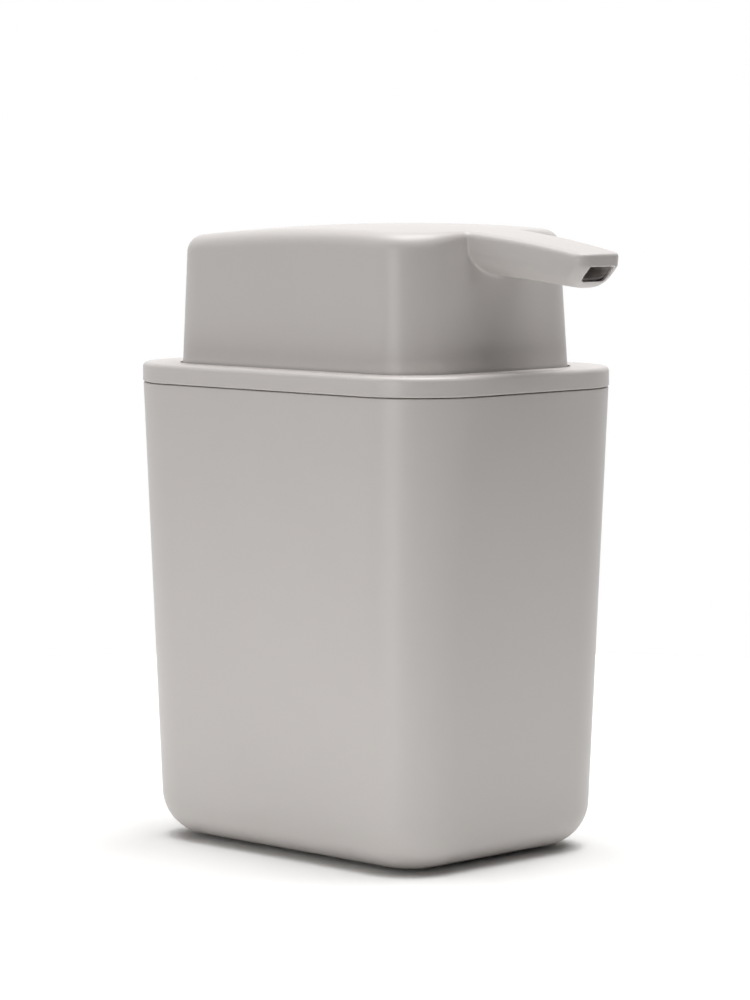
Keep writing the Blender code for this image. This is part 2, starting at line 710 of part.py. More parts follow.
def add_head_shell(parent, material):
    """The press head: outer form and spout, hollowed, with ribs and the duct's boss inside."""
    outer = head_block("head_shell", SKIRT_FOOT, 0)
    shell = add_piece(outer, COLLAR_TOP, parent, material)
    spout_start = SPOUT_ROOT - HEAD_EDGE
    combine(shell, spout_block("spout_form", spout_start, 0, SPOUT_TIP_CORNER), "UNION")
    combine(shell, head_block("head_hollow", SKIRT_FOOT - OVERRUN, HEAD_WALL), "DIFFERENCE")
    combine(shell, boss_mesh(), "UNION")
    half_width, half_depth = (size / 2 for size in head_outline(RIB_FOOT, HEAD_WALL / 2)[:2])
    combine(shell, rib_mesh("cross_rib", (-half_width, 0), (half_width, 0)), "UNION")
    for name, x in (("left_rib", -RIB_OFFSET), ("right_rib", RIB_OFFSET)):
        combine(shell, rib_mesh(name, (x, -half_depth), (x, half_depth)), "UNION")
    bore_start = SPOUT_ROOT - HEAD_WALL
    bore = spout_block("spout_hollow", bore_start, SPOUT_WALL, SPOUT_BORE_CORNER)
    combine(shell, bore, "DIFFERENCE")
    combine(shell, outlet_mesh(), "DIFFERENCE")
    combine(shell, boss_slot_mesh(), "DIFFERENCE")
    combine(shell, socket_space_mesh(), "DIFFERENCE")
    return shell


# Duct


def nozzle_ring(reach, distance, end, corner):
    """One section of the duct, which dips from the head's roof to the outlet."""
    share = max(0, (reach - SPOUT_ROOT) / SPOUT_LENGTH)
    middle = mix(DUCT_MIDDLE, (SPOUT_TIP_TOP + SPOUT_TIP_BOTTOM) / 2, share)
    inward = SPOUT_WALL + SLIDE_GAP + distance
    half_width = SPOUT_TIP_WIDTH / 2 - inward - end_rounding(reach, end, corner)
    half_height = (SPOUT_TIP_TOP - SPOUT_TIP_BOTTOM) / 2 - inward
    turns = [(1 / 2 - (k + 1 / 2) / DUCT_POINTS) * math.pi for k in range(DUCT_POINTS)]
    around = [oval_point(half_width, half_height, DUCT_FULLNESS_SHARE, turn) for turn in turns]
    return slanted([(x, middle + height) for x, height in around], reach, end)


def nozzle_mesh(name, distance, end, start=0.0):
    """A length of the duct's outer form, or of its passage when moved in by the wall."""
    corner = max(SPOUT_BORE_CORNER - SLIDE_GAP - distance, MERGE_DISTANCE)
    reaches = [start] + reaches_to(end, corner, SPOUT_ROOT)
    rings = [nozzle_ring(reach, distance, end, corner) for reach in reaches]
    return loft(name, rings, mirrored=True)


def boss_slot_mesh():
    """Way out of the boss for the nozzle."""
    past_boss = SOCKET_RADIUS + BOSS_WALL + OVERRUN
    rings = []
    for reach in (0, past_boss):
        rings.append(nozzle_ring(reach, -SLIDE_GAP, SPOUT_REACH, SPOUT_BORE_CORNER))
    return loft("boss_slot", rings, mirrored=True)


def socket_space_mesh():
    """Room in the boss for the duct's socket."""
    radius = SOCKET_RADIUS + SLIDE_GAP
    return loft(
        "socket_space",
        [round_ring(radius, BOSS_FOOT - OVERRUN), round_ring(radius, DUCT_TOP + SEAT_GAP)],
    )


def add_spout_duct(parent, material):
    """Socket over the stem, riser and nozzle, in one moulding."""
    socket = [round_ring(SOCKET_RADIUS, SOCKET_FOOT), round_ring(SOCKET_RADIUS, DUCT_TOP)]
    duct = add_piece(loft("spout_duct", socket), SOCKET_FOOT, parent, material)
    end = SPOUT_REACH - SPOUT_WALL - SLIDE_GAP
    combine(duct, nozzle_mesh("nozzle_form", 0, end), "UNION")
    bore = STEM_RADIUS + SLIDE_GAP
    riser = [
        (0, SOCKET_FOOT - OVERRUN),
        (bore, SOCKET_FOOT - OVERRUN),
        (bore, STEM_STOP),
        (STEM_BORE, STEM_STOP),
        (STEM_BORE, DUCT_MIDDLE),
        (0, DUCT_MIDDLE),
    ]
    combine(duct, turned("riser_cut", riser), "DIFFERENCE")
    passage = nozzle_mesh("passage_cut", DUCT_WALL, end + OVERRUN, -DUCT_BACK)
    combine(duct, passage, "DIFFERENCE")
    return duct


# Pump


def pump_nut_mesh():
    """Closure nut with grip ribs, over the neck and the barrel's flange."""
    inner = NECK_RADIUS + SLIDE_GAP
    foot = WELL_FLOOR + NUT_FOOT_GAP
    hole = GUIDE_RADIUS + SLIDE_GAP
    count = NUT_RIBS * NUT_RIB_POINTS
    rings = [
        round_ring(inner, foot, count),
        round_ring(inner, CAP_FOOT, count),
        round_ring(hole, CAP_FOOT, count),
        round_ring(hole, CAP_FOOT + NUT_TOP, count),
        round_ring(inner, CAP_FOOT + NUT_TOP, count),
        ribbed_ring(inner + NUT_WALL, CAP_FOOT, count),
        ribbed_ring(inner + NUT_WALL, foot, count),
    ]
    return loft("pump_nut", rings, closed=True)


def ribbed_ring(radius, height, count):
    """A circle with grip ribs: after the points on a rib come as many in a groove."""
    ring = round_ring(radius, height, count)
    for k, point in enumerate(ring):
        if k % NUT_RIB_POINTS >= NUT_RIB_POINTS / 2:
            point.xy *= (radius - NUT_RIB_DEPTH) / radius
    return ring


def pump_gasket_mesh():
    """Flat ring between the neck and the barrel's flange."""
    top = GASKET_FOOT + GASKET_THICKNESS
    outline = [
        (NECK_BORE, GASKET_FOOT),
        (FLANGE_RADIUS, GASKET_FOOT),
        (FLANGE_RADIUS, top),
        (NECK_BORE, top),
    ]
    return turned("pump_gasket", outline)


def pump_cylinder_mesh():
    """Barrel with its flange, the ball's cage and seat, and the dip tube's socket."""
    outer = BARREL_RADIUS + BARREL_WALL
    cage = CAGE_RADIUS + CAGE_WALL
    socket = TUBE_RADIUS + SLIDE_GAP
    bead = BALL_RADIUS - CAGE_BEAD
    cone_top = BALL_SEAT + SEAT_CONE
    outline = [
        (BARREL_RADIUS, FLANGE_TOP),
        (BARREL_RADIUS, BARREL_FLOOR),
        (bead, BARREL_FLOOR),
        (bead, BEAD_FOOT),
        (CAGE_RADIUS, BEAD_FOOT),
        (CAGE_RADIUS, cone_top),
        (SEAT_RADIUS, BALL_SEAT),
        (SEAT_RADIUS, TUBE_STOP),
        (socket, TUBE_STOP),
        (socket, TUBE_SOCKET_FOOT),
        (socket + TUBE_SOCKET_WALL, TUBE_SOCKET_FOOT),
        (cage, TUBE_STOP),
        (cage, BARREL_FLOOR - outer + cage),
        (outer, BARREL_FLOOR),
        (outer, FLANGE_FOOT),
        (FLANGE_RADIUS, FLANGE_FOOT),
        (FLANGE_RADIUS, FLANGE_TOP),
    ]
    return turned("pump_cylinder", outline)


def stem_guide_mesh():
    """Cap of the barrel, whose long collar guides the stem."""
    bore = STEM_RADIUS + SLIDE_GAP
    plug = BARREL_RADIUS - SLIDE_GAP
    outline = [
        (bore, GUIDE_FOOT),
        (plug, GUIDE_FOOT),
        (plug, CAP_FOOT),
        (GUIDE_RADIUS, CAP_FOOT),
        (GUIDE_RADIUS, CAP_FOOT + GUIDE_TOP),
        (bore, CAP_FOOT + GUIDE_TOP),
    ]
    return turned("stem_guide", outline)


def pump_stem_mesh():
    """Hollow stem with a shoulder that stops it under the guide."""
    counterbore = ROD_RADIUS + SLIDE_GAP
    rod_stop = STEM_FOOT + ROD_PLUG
    outline = [
        (counterbore, STEM_FOOT),
        (SHOULDER_RADIUS, STEM_FOOT),
        (SHOULDER_RADIUS, SHOULDER_TOP),
        (STEM_RADIUS, SHOULDER_TOP),
        (STEM_RADIUS, STEM_TOP),
        (STEM_BORE, STEM_TOP),
        (STEM_BORE, rod_stop),
        (counterbore, rod_stop),
    ]
    return turned("pump_stem", outline)


def add_piston_rod(parent, material):
    """Hollow rod with a closed foot, a flange for the spring and a cross port."""
    bore_foot = ROD_FLANGE_TOP + ROD_PORT_RISE - 2 * ROD_PORT_RADIUS
    outline = [
        (0, ROD_FLANGE_FOOT - ROD_PILOT_LENGTH),
        (ROD_PILOT_RADIUS, ROD_FLANGE_FOOT - ROD_PILOT_LENGTH),
        (ROD_PILOT_RADIUS, ROD_FLANGE_FOOT),
        (ROD_FLANGE_RADIUS, ROD_FLANGE_FOOT),
        (ROD_FLANGE_RADIUS, ROD_FLANGE_TOP),
        (ROD_RADIUS, ROD_FLANGE_TOP),
        (ROD_RADIUS, ROD_TOP),
        (ROD_BORE, ROD_TOP),
        (ROD_BORE, bore_foot),
        (0, bore_foot),
    ]
    rod = add_piece(turned("piston_rod", outline), ROD_FLANGE_TOP, parent, material)
    port = cross_hole("port_cut", ROD_PORT_RADIUS, ROD_FLANGE_TOP + ROD_PORT_RISE)
    combine(rod, port, "DIFFERENCE")
    return rod


def cross_hole(name, radius, height):
    """A round cutter along X, through the rod."""
    bm = bmesh.new()
    length = 2 * (ROD_RADIUS + OVERRUN)
    lie_down = Matrix.Rotation(math.pi / 2, 4, "Y")
    bmesh.ops.create_cone(
        bm,
        cap_ends=True,
        segments=PORT_STEPS,
        radius1=radius,
        radius2=radius,
        depth=length,
        matrix=Matrix.Translation((0, 0, height)) @ lie_down,
    )
    return mesh_of(bm, name)


def piston_seal_mesh():
    """Sleeve with an upper and a lower lip against the barrel."""
    bore = ROD_RADIUS + SLIDE_GAP
    lip = BARREL_RADIUS - SLIDE_GAP
    outline = [
        (bore, PISTON_FOOT),
        (PISTON_WAIST, PISTON_FOOT),
        (PISTON_WAIST, PISTON_FOOT + PISTON_LIP),
        (lip - PISTON_LIP, PISTON_FOOT),
        (lip, PISTON_FOOT),
        (lip, PISTON_FOOT + PISTON_LIP),
        (PISTON_WAIST, PISTON_FOOT + 3 * PISTON_LIP),
        (PISTON_WAIST, PISTON_TOP - 3 * PISTON_LIP),
        (lip, PISTON_TOP - PISTON_LIP),
        (lip, PISTON_TOP),
        (lip - PISTON_LIP, PISTON_TOP),
        (PISTON_WAIST, PISTON_TOP - PISTON_LIP),
        (PISTON_WAIST, PISTON_TOP),
        (bore, PISTON_TOP),
    ]
    return turned("piston_seal", outline)


def spring_points():
    """The wire's middle line: close end turns, open middle turns, straight at both ends."""
    count = SPRING_TURNS * SPRING_TURN_POINTS
    rise = SPRING_LENGTH - SPRING_WIRE
    points = []
    for k in range(count + 1):
        share = k / count
        easing = SPRING_CLOSING_SHARE * math.sin(math.tau * share) / math.tau
        angle = math.tau * SPRING_TURNS * share
        height = SPRING_WIRE / 2 + rise * (share - easing)
        across = Vector((math.cos(angle), math.sin(angle), 0)) * SPRING_RADIUS
        points.append(across + Vector((0, 0, height)))
    step = Vector((0, SPRING_WIRE, 0))
    return [points[0] - step] + points + [points[-1] + step]


def least_spring_gap(points):
    """Least gap of the wire to itself, between points more than half a turn apart."""
    apart = SPRING_TURN_POINTS // 2
    gaps = []
    for k, point in enumerate(points):
        gaps += [(point - other).length for other in points[k + apart :]]
    return min(gaps) - SPRING_WIRE


def add_return_spring(parent, material):
    """One unbroken wound wire."""
    points = spring_points()
    print(f"return_spring: least gap to itself {least_spring_gap(points) * 1000:.2f} mm")
    curve = bpy.data.curves.new("return_spring", "CURVE")
    curve.dimensions = "3D"
    curve.bevel_depth = SPRING_WIRE / 2
    curve.bevel_resolution = 1
    curve.use_fill_caps = True
    spline = curve.splines.new("POLY")
    spline.points.add(len(points) - 1)
    for slot, point in zip(spline.points, points):
        slot.co = (*point, 1)
    curve.materials.append(material)
    spring = bpy.data.objects.new("return_spring", curve)
    bpy.context.scene.collection.objects.link(spring)
    spring.parent = parent
    spring.location.z = SPRING_FOOT - height_of(parent)
    return spring


def inlet_ball_mesh():
    """The inlet valve's ball."""
    bm = bmesh.new()
    bmesh.ops.create_uvsphere(
        bm,
        u_segments=BALL_STEPS,
        v_segments=BALL_STEPS // 2,
        radius=BALL_RADIUS,
        matrix=Matrix.Translation((0, 0, BALL_MIDDLE)),
    )
    return mesh_of(bm, "inlet_ball")


def dip_tube_mesh():
    """Straight tube with a slanted foot, so that it can't seal itself on the floor."""
    bore = TUBE_RADIUS - TUBE_WALL
    rings = [
        round_ring(TUBE_RADIUS, TUBE_TOP, TUBE_STEPS),
        round_ring(bore, TUBE_TOP, TUBE_STEPS),
        round_ring(bore, TUBE_FOOT, TUBE_STEPS),
        round_ring(TUBE_RADIUS, TUBE_FOOT, TUBE_STEPS),
    ]
    for point in rings[2] + rings[3]:
        point.z += math.tan(TUBE_SLANT) * (point.y + TUBE_RADIUS)
    return loft("dip_tube", rings, closed=True)


# Assembly


def build():
    """Clears the scene and builds every piece in its place."""
    for item in list(bpy.data.objects):
        bpy.data.objects.remove(item)
    grey = make_material("grey_moulded_plastic", "C6C2BE", 0.38)
    pad_grey = make_material("dark_soft_elastomer", "6F6C69", 0.8)
    silicone = make_material("clear_silicone", "D9D8D4", 0.45)
    white = make_material("white_polypropylene", "EDEDEA", 0.4)
    natural = make_material("natural_polyethylene", "E2E4E2", 0.35)
    steel = make_material("stainless_steel", "C2C4C6", 0.25, metallic=1.0)

    add_piece(container_mesh(), 0, None, grey)
    add_piece(base_pad_mesh(), 0, None, pad_grey)

    lid_axis = add_empty("lid_lift_axis", COLLAR_FOOT)
    add_piece(lid_collar_mesh(), COLLAR_FOOT, lid_axis, grey)
    add_piece(lid_seal_mesh(), SEAL_FOOT, lid_axis, silicone)
    add_piece(pump_nut_mesh(), CAP_FOOT, lid_axis, white)
    add_piece(pump_gasket_mesh(), GASKET_FOOT, lid_axis, silicone)
    add_piece(pump_cylinder_mesh(), FLANGE_TOP, lid_axis, natural)
    add_piece(stem_guide_mesh(), CAP_FOOT, lid_axis, white)
    add_piece(dip_tube_mesh(), TUBE_TOP, lid_axis, natural)
    add_piece(inlet_ball_mesh(), BALL_MIDDLE, lid_axis, steel)
    add_return_spring(lid_axis, steel)

    head_axis = add_empty("head_press_axis", COLLAR_TOP, lid_axis)
    add_head_shell(head_axis, grey)
    add_spout_duct(head_axis, grey)
    add_piece(pump_stem_mesh(), STEM_FOOT, head_axis, white)
    add_piston_rod(head_axis, white)
    add_piece(piston_seal_mesh(), PISTON_FOOT, head_axis, natural)


build()
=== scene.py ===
"""Finished surfaces of a counter-top dish soap dispenser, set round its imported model.

Lengths are metres and +Z is up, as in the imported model: the origin is on the table under the
middle of the container, and the spout points along -Y.
"""

import math

import bmesh
import bpy
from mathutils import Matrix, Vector
from mathutils.geometry import delaunay_2d_cdt


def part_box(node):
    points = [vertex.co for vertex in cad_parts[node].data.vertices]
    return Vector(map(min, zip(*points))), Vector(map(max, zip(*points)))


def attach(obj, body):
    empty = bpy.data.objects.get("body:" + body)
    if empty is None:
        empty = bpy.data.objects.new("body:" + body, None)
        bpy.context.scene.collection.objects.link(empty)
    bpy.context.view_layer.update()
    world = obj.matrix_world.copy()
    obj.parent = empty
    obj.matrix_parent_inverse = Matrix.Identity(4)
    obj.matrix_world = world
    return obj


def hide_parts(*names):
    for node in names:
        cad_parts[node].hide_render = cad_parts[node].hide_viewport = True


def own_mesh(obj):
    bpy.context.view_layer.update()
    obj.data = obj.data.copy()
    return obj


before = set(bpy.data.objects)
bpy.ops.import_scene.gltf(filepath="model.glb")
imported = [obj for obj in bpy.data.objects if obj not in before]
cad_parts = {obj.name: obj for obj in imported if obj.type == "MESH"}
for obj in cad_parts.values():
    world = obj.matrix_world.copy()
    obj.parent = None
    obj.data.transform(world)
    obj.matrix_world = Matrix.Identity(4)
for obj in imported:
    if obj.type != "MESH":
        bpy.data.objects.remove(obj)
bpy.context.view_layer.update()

MM = 0.001

# Smoothness of the finished meshes
CORNER_STEPS = 20  # facets in each vertical corner
SIDE_POINTS = 9  # extra points along each straight side
HEAD_RUN_POINTS = 20  # the same on the head
SHORT_RUN = 15.0 * MM  # a straight run of the head up to this length gets fewer points
SHORT_RUN_POINTS = 3
FOOT_STEPS = 10  # along the head's foot under the spout
EDGE_STEPS = 8  # facets over a rounded edge
SOFT_STEPS = 4  # facets over a softened corner
ROUND_STEPS = 96  # facets round a turned piece
NET_SPACING = 2.2 * MM  # of the points that fill a curved area
NET_CLEARANCE_SHARE = 0.6  # of the spacing, from the area's rim to the nearest point
NET_TOLERANCE = 0.0001 * MM
MERGE_DISTANCE = 0.001 * MM
SHARP_TURN = math.radians(35)  # an edge that turns more than this stays sharp
WIRE_SHARP_TURN = math.radians(50)
SOFTENED_TURN = math.radians(30)  # a corner that turns more than this is softened
SOFT_EDGE = 0.25 * MM  # on the corners of the plain mouldings
SOFT_ROOM_SHARE = 0.48  # of a side that a softened corner may take up
OVERRUN = 3.0 * MM  # of a cutter past what it cuts


def levels(box):
    """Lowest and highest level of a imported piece's box."""
    return [corner.z for corner in box]


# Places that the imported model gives
BODY_FOOT, RIM_TOP = levels(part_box("container"))
PAD_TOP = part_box("base_pad")[1].z
LID_FOOT, COLLAR_TOP = levels(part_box("lid_collar"))
SEAL_FOOT, SEAL_TOP = levels(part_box("lid_seal"))
NUT_FOOT, NUT_TOP = levels(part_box("pump_nut"))
GASKET_FOOT, GASKET_TOP = levels(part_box("pump_gasket"))
TUBE_SOCKET_FOOT, FLANGE_TOP = levels(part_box("pump_cylinder"))
GUIDE_FOOT, CAP_TOP = levels(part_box("stem_guide"))
TUBE_FOOT, TUBE_TOP = levels(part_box("dip_tube"))
SPRING_FOOT, SPRING_TOP = levels(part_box("return_spring"))
BALL_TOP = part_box("inlet_ball")[1].z
SKIRT_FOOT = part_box("head_shell")[0].z
SPOUT_REACH = -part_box("head_shell")[0].y
SOCKET_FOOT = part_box("spout_duct")[0].z
STEM_FOOT, STEM_TOP = levels(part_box("pump_stem"))
ROD_FOOT, ROD_TOP = levels(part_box("piston_rod"))
PISTON_FOOT, PISTON_TOP = levels(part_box("piston_seal"))
NUT_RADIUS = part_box("pump_nut")[1].x
FLANGE_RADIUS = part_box("pump_cylinder")[1].x
GUIDE_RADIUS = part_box("stem_guide")[1].x
SHOULDER_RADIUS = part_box("pump_stem")[1].x
ROD_FLANGE_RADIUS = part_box("piston_rod")[1].x
PISTON_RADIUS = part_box("piston_seal")[1].x

# Gaps between neighbours
SLIDE_GAP = 0.3 * MM
SEAT_GAP = 0.3 * MM
WELL_GAP = 0.4 * MM

# Container
RIM_OUTLINE = (64.8 * MM, 88.4 * MM, 16.3 * MM)  # width, depth and corner radius
FOOT_OUTLINE = (58.8 * MM, 78.9 * MM, 12.6 * MM)
FOOT_EDGE = 9.0 * MM
RIM_EDGE = 0.3 * MM
BODY_WALL = 2.2 * MM
BODY_FLOOR = 2.2 * MM
LEAST_CORNER = 0.05 * MM  # of an outline that is moved in

# Base pad
PAD_MARGIN = 1.1 * MM  # from the foot's round edge to the pad
PAD_EDGE = 0.4 * MM
STUD_RADIUS = 0.9 * MM
STUD_FOOT_SHARE = 0.8  # of the radius, at the stud's foot
STUD_HEIGHT = 0.2 * MM
STUD_SPACING = 2.7 * MM
STUD_STEPS = 20

# Lid
COLLAR_HEIGHT = 4.0 * MM
COLLAR_OVERHANG = 0.1 * MM
COLLAR_TOP_EDGE = 1.0 * MM
COLLAR_FOOT_EDGE = 0.3 * MM
WELL_WALL = 1.8 * MM
WELL_LEAD = 0.3 * MM
LID_FLOOR = 2.0 * MM
LAND_GAP = 0.5 * MM
LAND_LIP = 1.2 * MM
LAND_LEAD = 0.6 * MM
NECK_BORE = 8.8 * MM
NECK_RADIUS = 13.5 * MM
NECK_HEIGHT = 6.5 * MM
SEAL_THICKNESS = 1.3 * MM
SEAL_WAIST = 0.4 * MM
SEAL_STEPS = 24

# Head
HEAD_FOOT = (51.77 * MM, 72.11 * MM, 10.74 * MM)  # outline of the skirt's lower edge
HEAD_SHOULDER = (49.5 * MM, 68.7 * MM, 9.6 * MM)  # outline at the foot of the top's round edge
HEAD_LEAN = 0.4 * MM  # how far the upper outline lies back
HEAD_RISE = 28.7 * MM  # from the collar to the crest
CREST = 11.8 * MM  # the highest point lies this far in front of the axis
SIDE_FALL = 0.9 * MM
BACK_FALL = 2.5 * MM
HEAD_EDGE = 3.0 * MM
EDGE_EASE_START = 22.0 * MM  # the front's top edge tightens from here to the spout
HEAD_WALL = 2.2 * MM
WALL_ROWS = 12

# Spout
ROOT_WIDTH = 16.4 * MM
TIP_WIDTH = 11.6 * MM
TIP_DROP = 5.1 * MM  # from the crest to the tip's top
ROOT_BELLY = 9.8 * MM  # from the crest to the underside
TIP_BELLY = 11.8 * MM
ROOT_FLANK = 5.0 * MM  # from the crest to where the flank turns into the belly
BROW = 2.45 * MM  # height of the end face's upright band
BROW_LEAN = math.radians(6)
UNDERCUT = math.radians(42)
UPRIGHT_LENGTH = 11.05 * MM  # over this length the sections stand upright
ROOT_FILLET = 0.45 * MM
BELLY_FLARE = 2.6  # how much further the fillet runs down under the belly
ROOT_LEAN_LENGTH = 6.0 * MM  # over this length the sections lean like the wall behind them
SPOUT_EDGE = 1.4 * MM
TIP_CORNER = 2.6 * MM
TIP_LIP = 0.5 * MM  # radius of the top's edge over the end face
SOLE_CORNER = 0.8 * MM  # where the end face turns into the underside
ROOT_FULLNESS = 1.6  # exponent of the belly's curve, 2 being an ellipse
TIP_FULLNESS = 3.3
SPOUT_WALL = 0.8 * MM
BORE_START = 1.0 * MM  # of the spout's bore, behind the head's wall
BORE_CORNER = 0.1 * MM  # least radius of the bore's top edge
FILLET_ROWS = 6
SPOUT_ROWS = 26
TIP_ROWS = 10
FLANK_STEPS = 4
BELLY_STEPS = 18
TIP_POINTS = 8

# Outlet
OUTLET_HALF_WIDTH = 3.55 * MM
OUTLET_SOLE = 1.35 * MM  # from the spout's underside to the window
OUTLET_TOP_CORNER = 0.35 * MM
OUTLET_FOOT_CORNER = 1.0 * MM
OUTLET_LIP = 0.25 * MM
OUTLET_LIP_STEPS = 5

# Inside of the head
RIB_THICKNESS = 1.4 * MM
RIB_FOOT = 120.9 * MM
RIB_OFFSET = 13.5 * MM  # of the two long ribs from the middle
RIB_EDGE = 0.5 * MM
BOSS_RADIUS = 8.1 * MM
BOSS_FOOT = 114.5 * MM

# Duct
DUCT_SOCKET_RADIUS = 6.0 * MM
DUCT_TOP = 123.5 * MM
DUCT_MIDDLE = 121.1 * MM
DUCT_WALL = 0.6 * MM
DUCT_BACK = 2.0 * MM  # the passage ends this far behind the axis
DUCT_CORNER = 0.9 * MM
DUCT_FULLNESS = 2.6
DUCT_ROWS = 24
DUCT_STEPS = 20

# Pump
BARREL_RADIUS = 7.0 * MM
BARREL_WALL = 1.5 * MM
FLANGE_THICKNESS = 1.5 * MM
CAP_THICKNESS = 1.6 * MM
NUT_WALL = 2.2 * MM
NUT_SHOULDER = 0.6 * MM  # from the nut's bore out to the top of its sloping shoulder
NUT_RIBS = 16
RIB_HEIGHT = 0.4 * MM
RIB_HALF_WIDTH = 1.6 * MM
RIB_STEPS = 32
RIB_MARGIN = 0.6 * MM  # from a rib's ends to the nut's foot and shoulder
STEM_RADIUS = 3.8 * MM
STEM_BORE = 2.0 * MM
SHOULDER_THICKNESS = 1.5 * MM
ROD_RADIUS = 2.6 * MM
ROD_BORE = 1.3 * MM
ROD_PILOT_RADIUS = 3.8 * MM
ROD_PILOT_LENGTH = 2.5 * MM
ROD_FLANGE_THICKNESS = 1.5 * MM
PORT_RADIUS = 0.7 * MM
PORT_RISE = 2.2 * MM  # over the rod's flange
PORT_STEPS = 32
PISTON_WAIST = 4.6 * MM
PISTON_LIP = 0.8 * MM
SPRING_TURNS = 7
SPRING_TURN_POINTS = 64
SPRING_WIRE = 0.9 * MM
SPRING_WIRE_STEPS = 20
SPRING_MEAN_RADIUS = 5.0 * MM
SPRING_CLOSING = 0.5  # how much finer the end turns are wound
BALL_RADIUS = 2.5 * MM
BALL_STEPS = 32
CAGE_RADIUS = 3.1 * MM
CAGE_OUTER = 5.0 * MM
CAGE_BEAD = 2.25 * MM
BEAD_HEIGHT = 0.8 * MM
SEAT_RADIUS = 1.8 * MM
SEAT_HEIGHT = 43.565 * MM
SEAT_CONE = 0.9 * MM
TUBE_RADIUS = 3.0 * MM
TUBE_BORE = 2.1 * MM
TUBE_EDGE = 0.12 * MM
TUBE_SOCKET_RADIUS = 4.9 * MM
TUBE_SLANT = math.radians(30)

# Heights and lengths that follow
HEAD_TOP = COLLAR_TOP + HEAD_RISE
HALF_WIDTH = HEAD_SHOULDER[0] / 2
HALF_DEPTH = HEAD_SHOULDER[1] / 2
SPOUT_ROOT = HALF_DEPTH - HEAD_LEAN
SPOUT_LENGTH = SPOUT_REACH - SPOUT_ROOT
UPRIGHT_END = SPOUT_ROOT + UPRIGHT_LENGTH
TIP_TOP = HEAD_TOP - TIP_DROP
TIP_SOLE = HEAD_TOP - TIP_BELLY
WALL_TOP = HEAD_TOP - HEAD_EDGE
WALL_SLOPE = (HEAD_FOOT[1] / 2 - SPOUT_ROOT) / (WALL_TOP - SKIRT_FOOT)
CAP_FOOT = CAP_TOP - CAP_THICKNESS
BARREL_FLOOR = SPRING_FOOT - SEAT_GAP


def mix(start, end, share):
    """The value that lies this share of the way from start to end."""
    return start + (end - start) * share


# Meshes


def placed(name, data):
    """A new object with this data, linked to the scene."""
    piece = bpy.data.objects.new(name, data)
    bpy.context.scene.collection.objects.link(piece)
    return piece


def finish_mesh(bm, name):
    """Turns a bmesh into a smooth-shaded object with its faces outwards."""
    bmesh.ops.recalc_face_normals(bm, faces=bm.faces[:])
    mesh = bpy.data.meshes.new(name)
    bm.to_mesh(mesh)
    bm.free()
    mesh.shade_smooth()
    mesh.set_sharp_from_angle(angle=SHARP_TURN)
    return placed(name, mesh)


def add_bands(bm, rows, closed=True):
    """A band of faces between each row of vertices and the next."""
    for first, second in zip(rows, rows[1:]):
        for k in range(len(first) if closed else len(first) - 1):
            after = (k + 1) % len(first)
            bm.faces.new((first[k], first[after], second[after], second[k]))


def loft(name, rings, closed=False):
    """A solid through rings of equally many points, with end caps, or closed on itself."""
    bm = bmesh.new()
    loops = [[bm.verts.new(point) for point in ring] for ring in rings]
    if closed:
        loops.append(loops[0])
    else:
        bm.faces.new(loops[0])
        bm.faces.new(loops[-1])
    add_bands(bm, loops)
    return finish_mesh(bm, name)


def quarter_turn(steps):
    """Angles from 0 to a quarter turn."""
    return [k / steps * math.pi / 2 for k in range(steps + 1)]


def arc(radius, steps=EDGE_STEPS):
    """Points of a quarter round as (distance in from the wall, rise), from the flat to the wall."""
    return [(radius * (1 - math.sin(a)), radius * (1 - math.cos(a))) for a in quarter_turn(steps)]


def inset(outline, distance):
    """A rounded rectangle, moved in by a distance on every side."""
    width, depth, corner = outline
    return (width - 2 * distance, depth - 2 * distance, max(corner - distance, LEAST_CORNER))


def corner_points(outline, side_x, side_y, start):
    """Plan points round one corner of a rounded rectangle, from the angle at which it starts."""
    width, depth, corner = outline
    middle = Vector((side_x * (width / 2 - corner), side_y * (depth / 2 - corner)))
    turns = [start + angle for angle in quarter_turn(CORNER_STEPS)]
    return [middle + corner * Vector((math.cos(a), math.sin(a))) for a in turns]


def between(start, end, count):
    """Even points between two places."""
    return [start.lerp(end, k / (count + 1)) for k in range(1, count + 1)]


def rounded_ring(outline, height):
    """Points of a rounded rectangle, anticlockwise from above."""
    corners = []
    for quarter, (side_x, side_y) in enumerate(((1, 1), (-1, 1), (-1, -1), (1, -1))):
        corners.append(corner_points(outline, side_x, side_y, quarter * math.pi / 2))
    ring = []
    for k, corner in enumerate(corners):
        ring += corner + between(corner[-1], corners[(k + 1) % 4][0], SIDE_POINTS)
    return [Vector((*point, height)) for point in ring]


def round_like(ring, radius, height):
    """A circle whose points lie in the same directions as those of another ring."""
    level = Vector((0, 0, height))
    return [Vector((point.x, point.y, 0)).normalized() * radius + level for point in ring]


def softened(stations, radius, closed=True):
    """Stations along an outline, with its sharp corners rounded as far as the sides leave room.

    A station is a list of points: a whole ring, or a single point of an outline for turning.
    """
    soft = []
    for k, corner in enumerate(stations):
        before, after = stations[k - 1], stations[(k + 1) % len(stations)]
        into, out = corner[0] - before[0], after[0] - corner[0]
        at_end = not closed and k in (0, len(stations) - 1)
        if at_end or corner[0].x == 0 or into.angle(out, 0) < SOFTENED_TURN:
            soft.append(corner)
            continue
        back, forth = (min(radius / side.length, SOFT_ROOM_SHARE) for side in (into, out))
        for step in range(SOFT_STEPS + 1):
            share = step / SOFT_STEPS
            ring = []
            for last, here, coming in zip(before, corner, after):
                start, end = here.lerp(last, back), here.lerp(coming, forth)
                ring.append(start.lerp(here, share).lerp(here.lerp(end, share), share))
            soft.append(ring)
    return soft


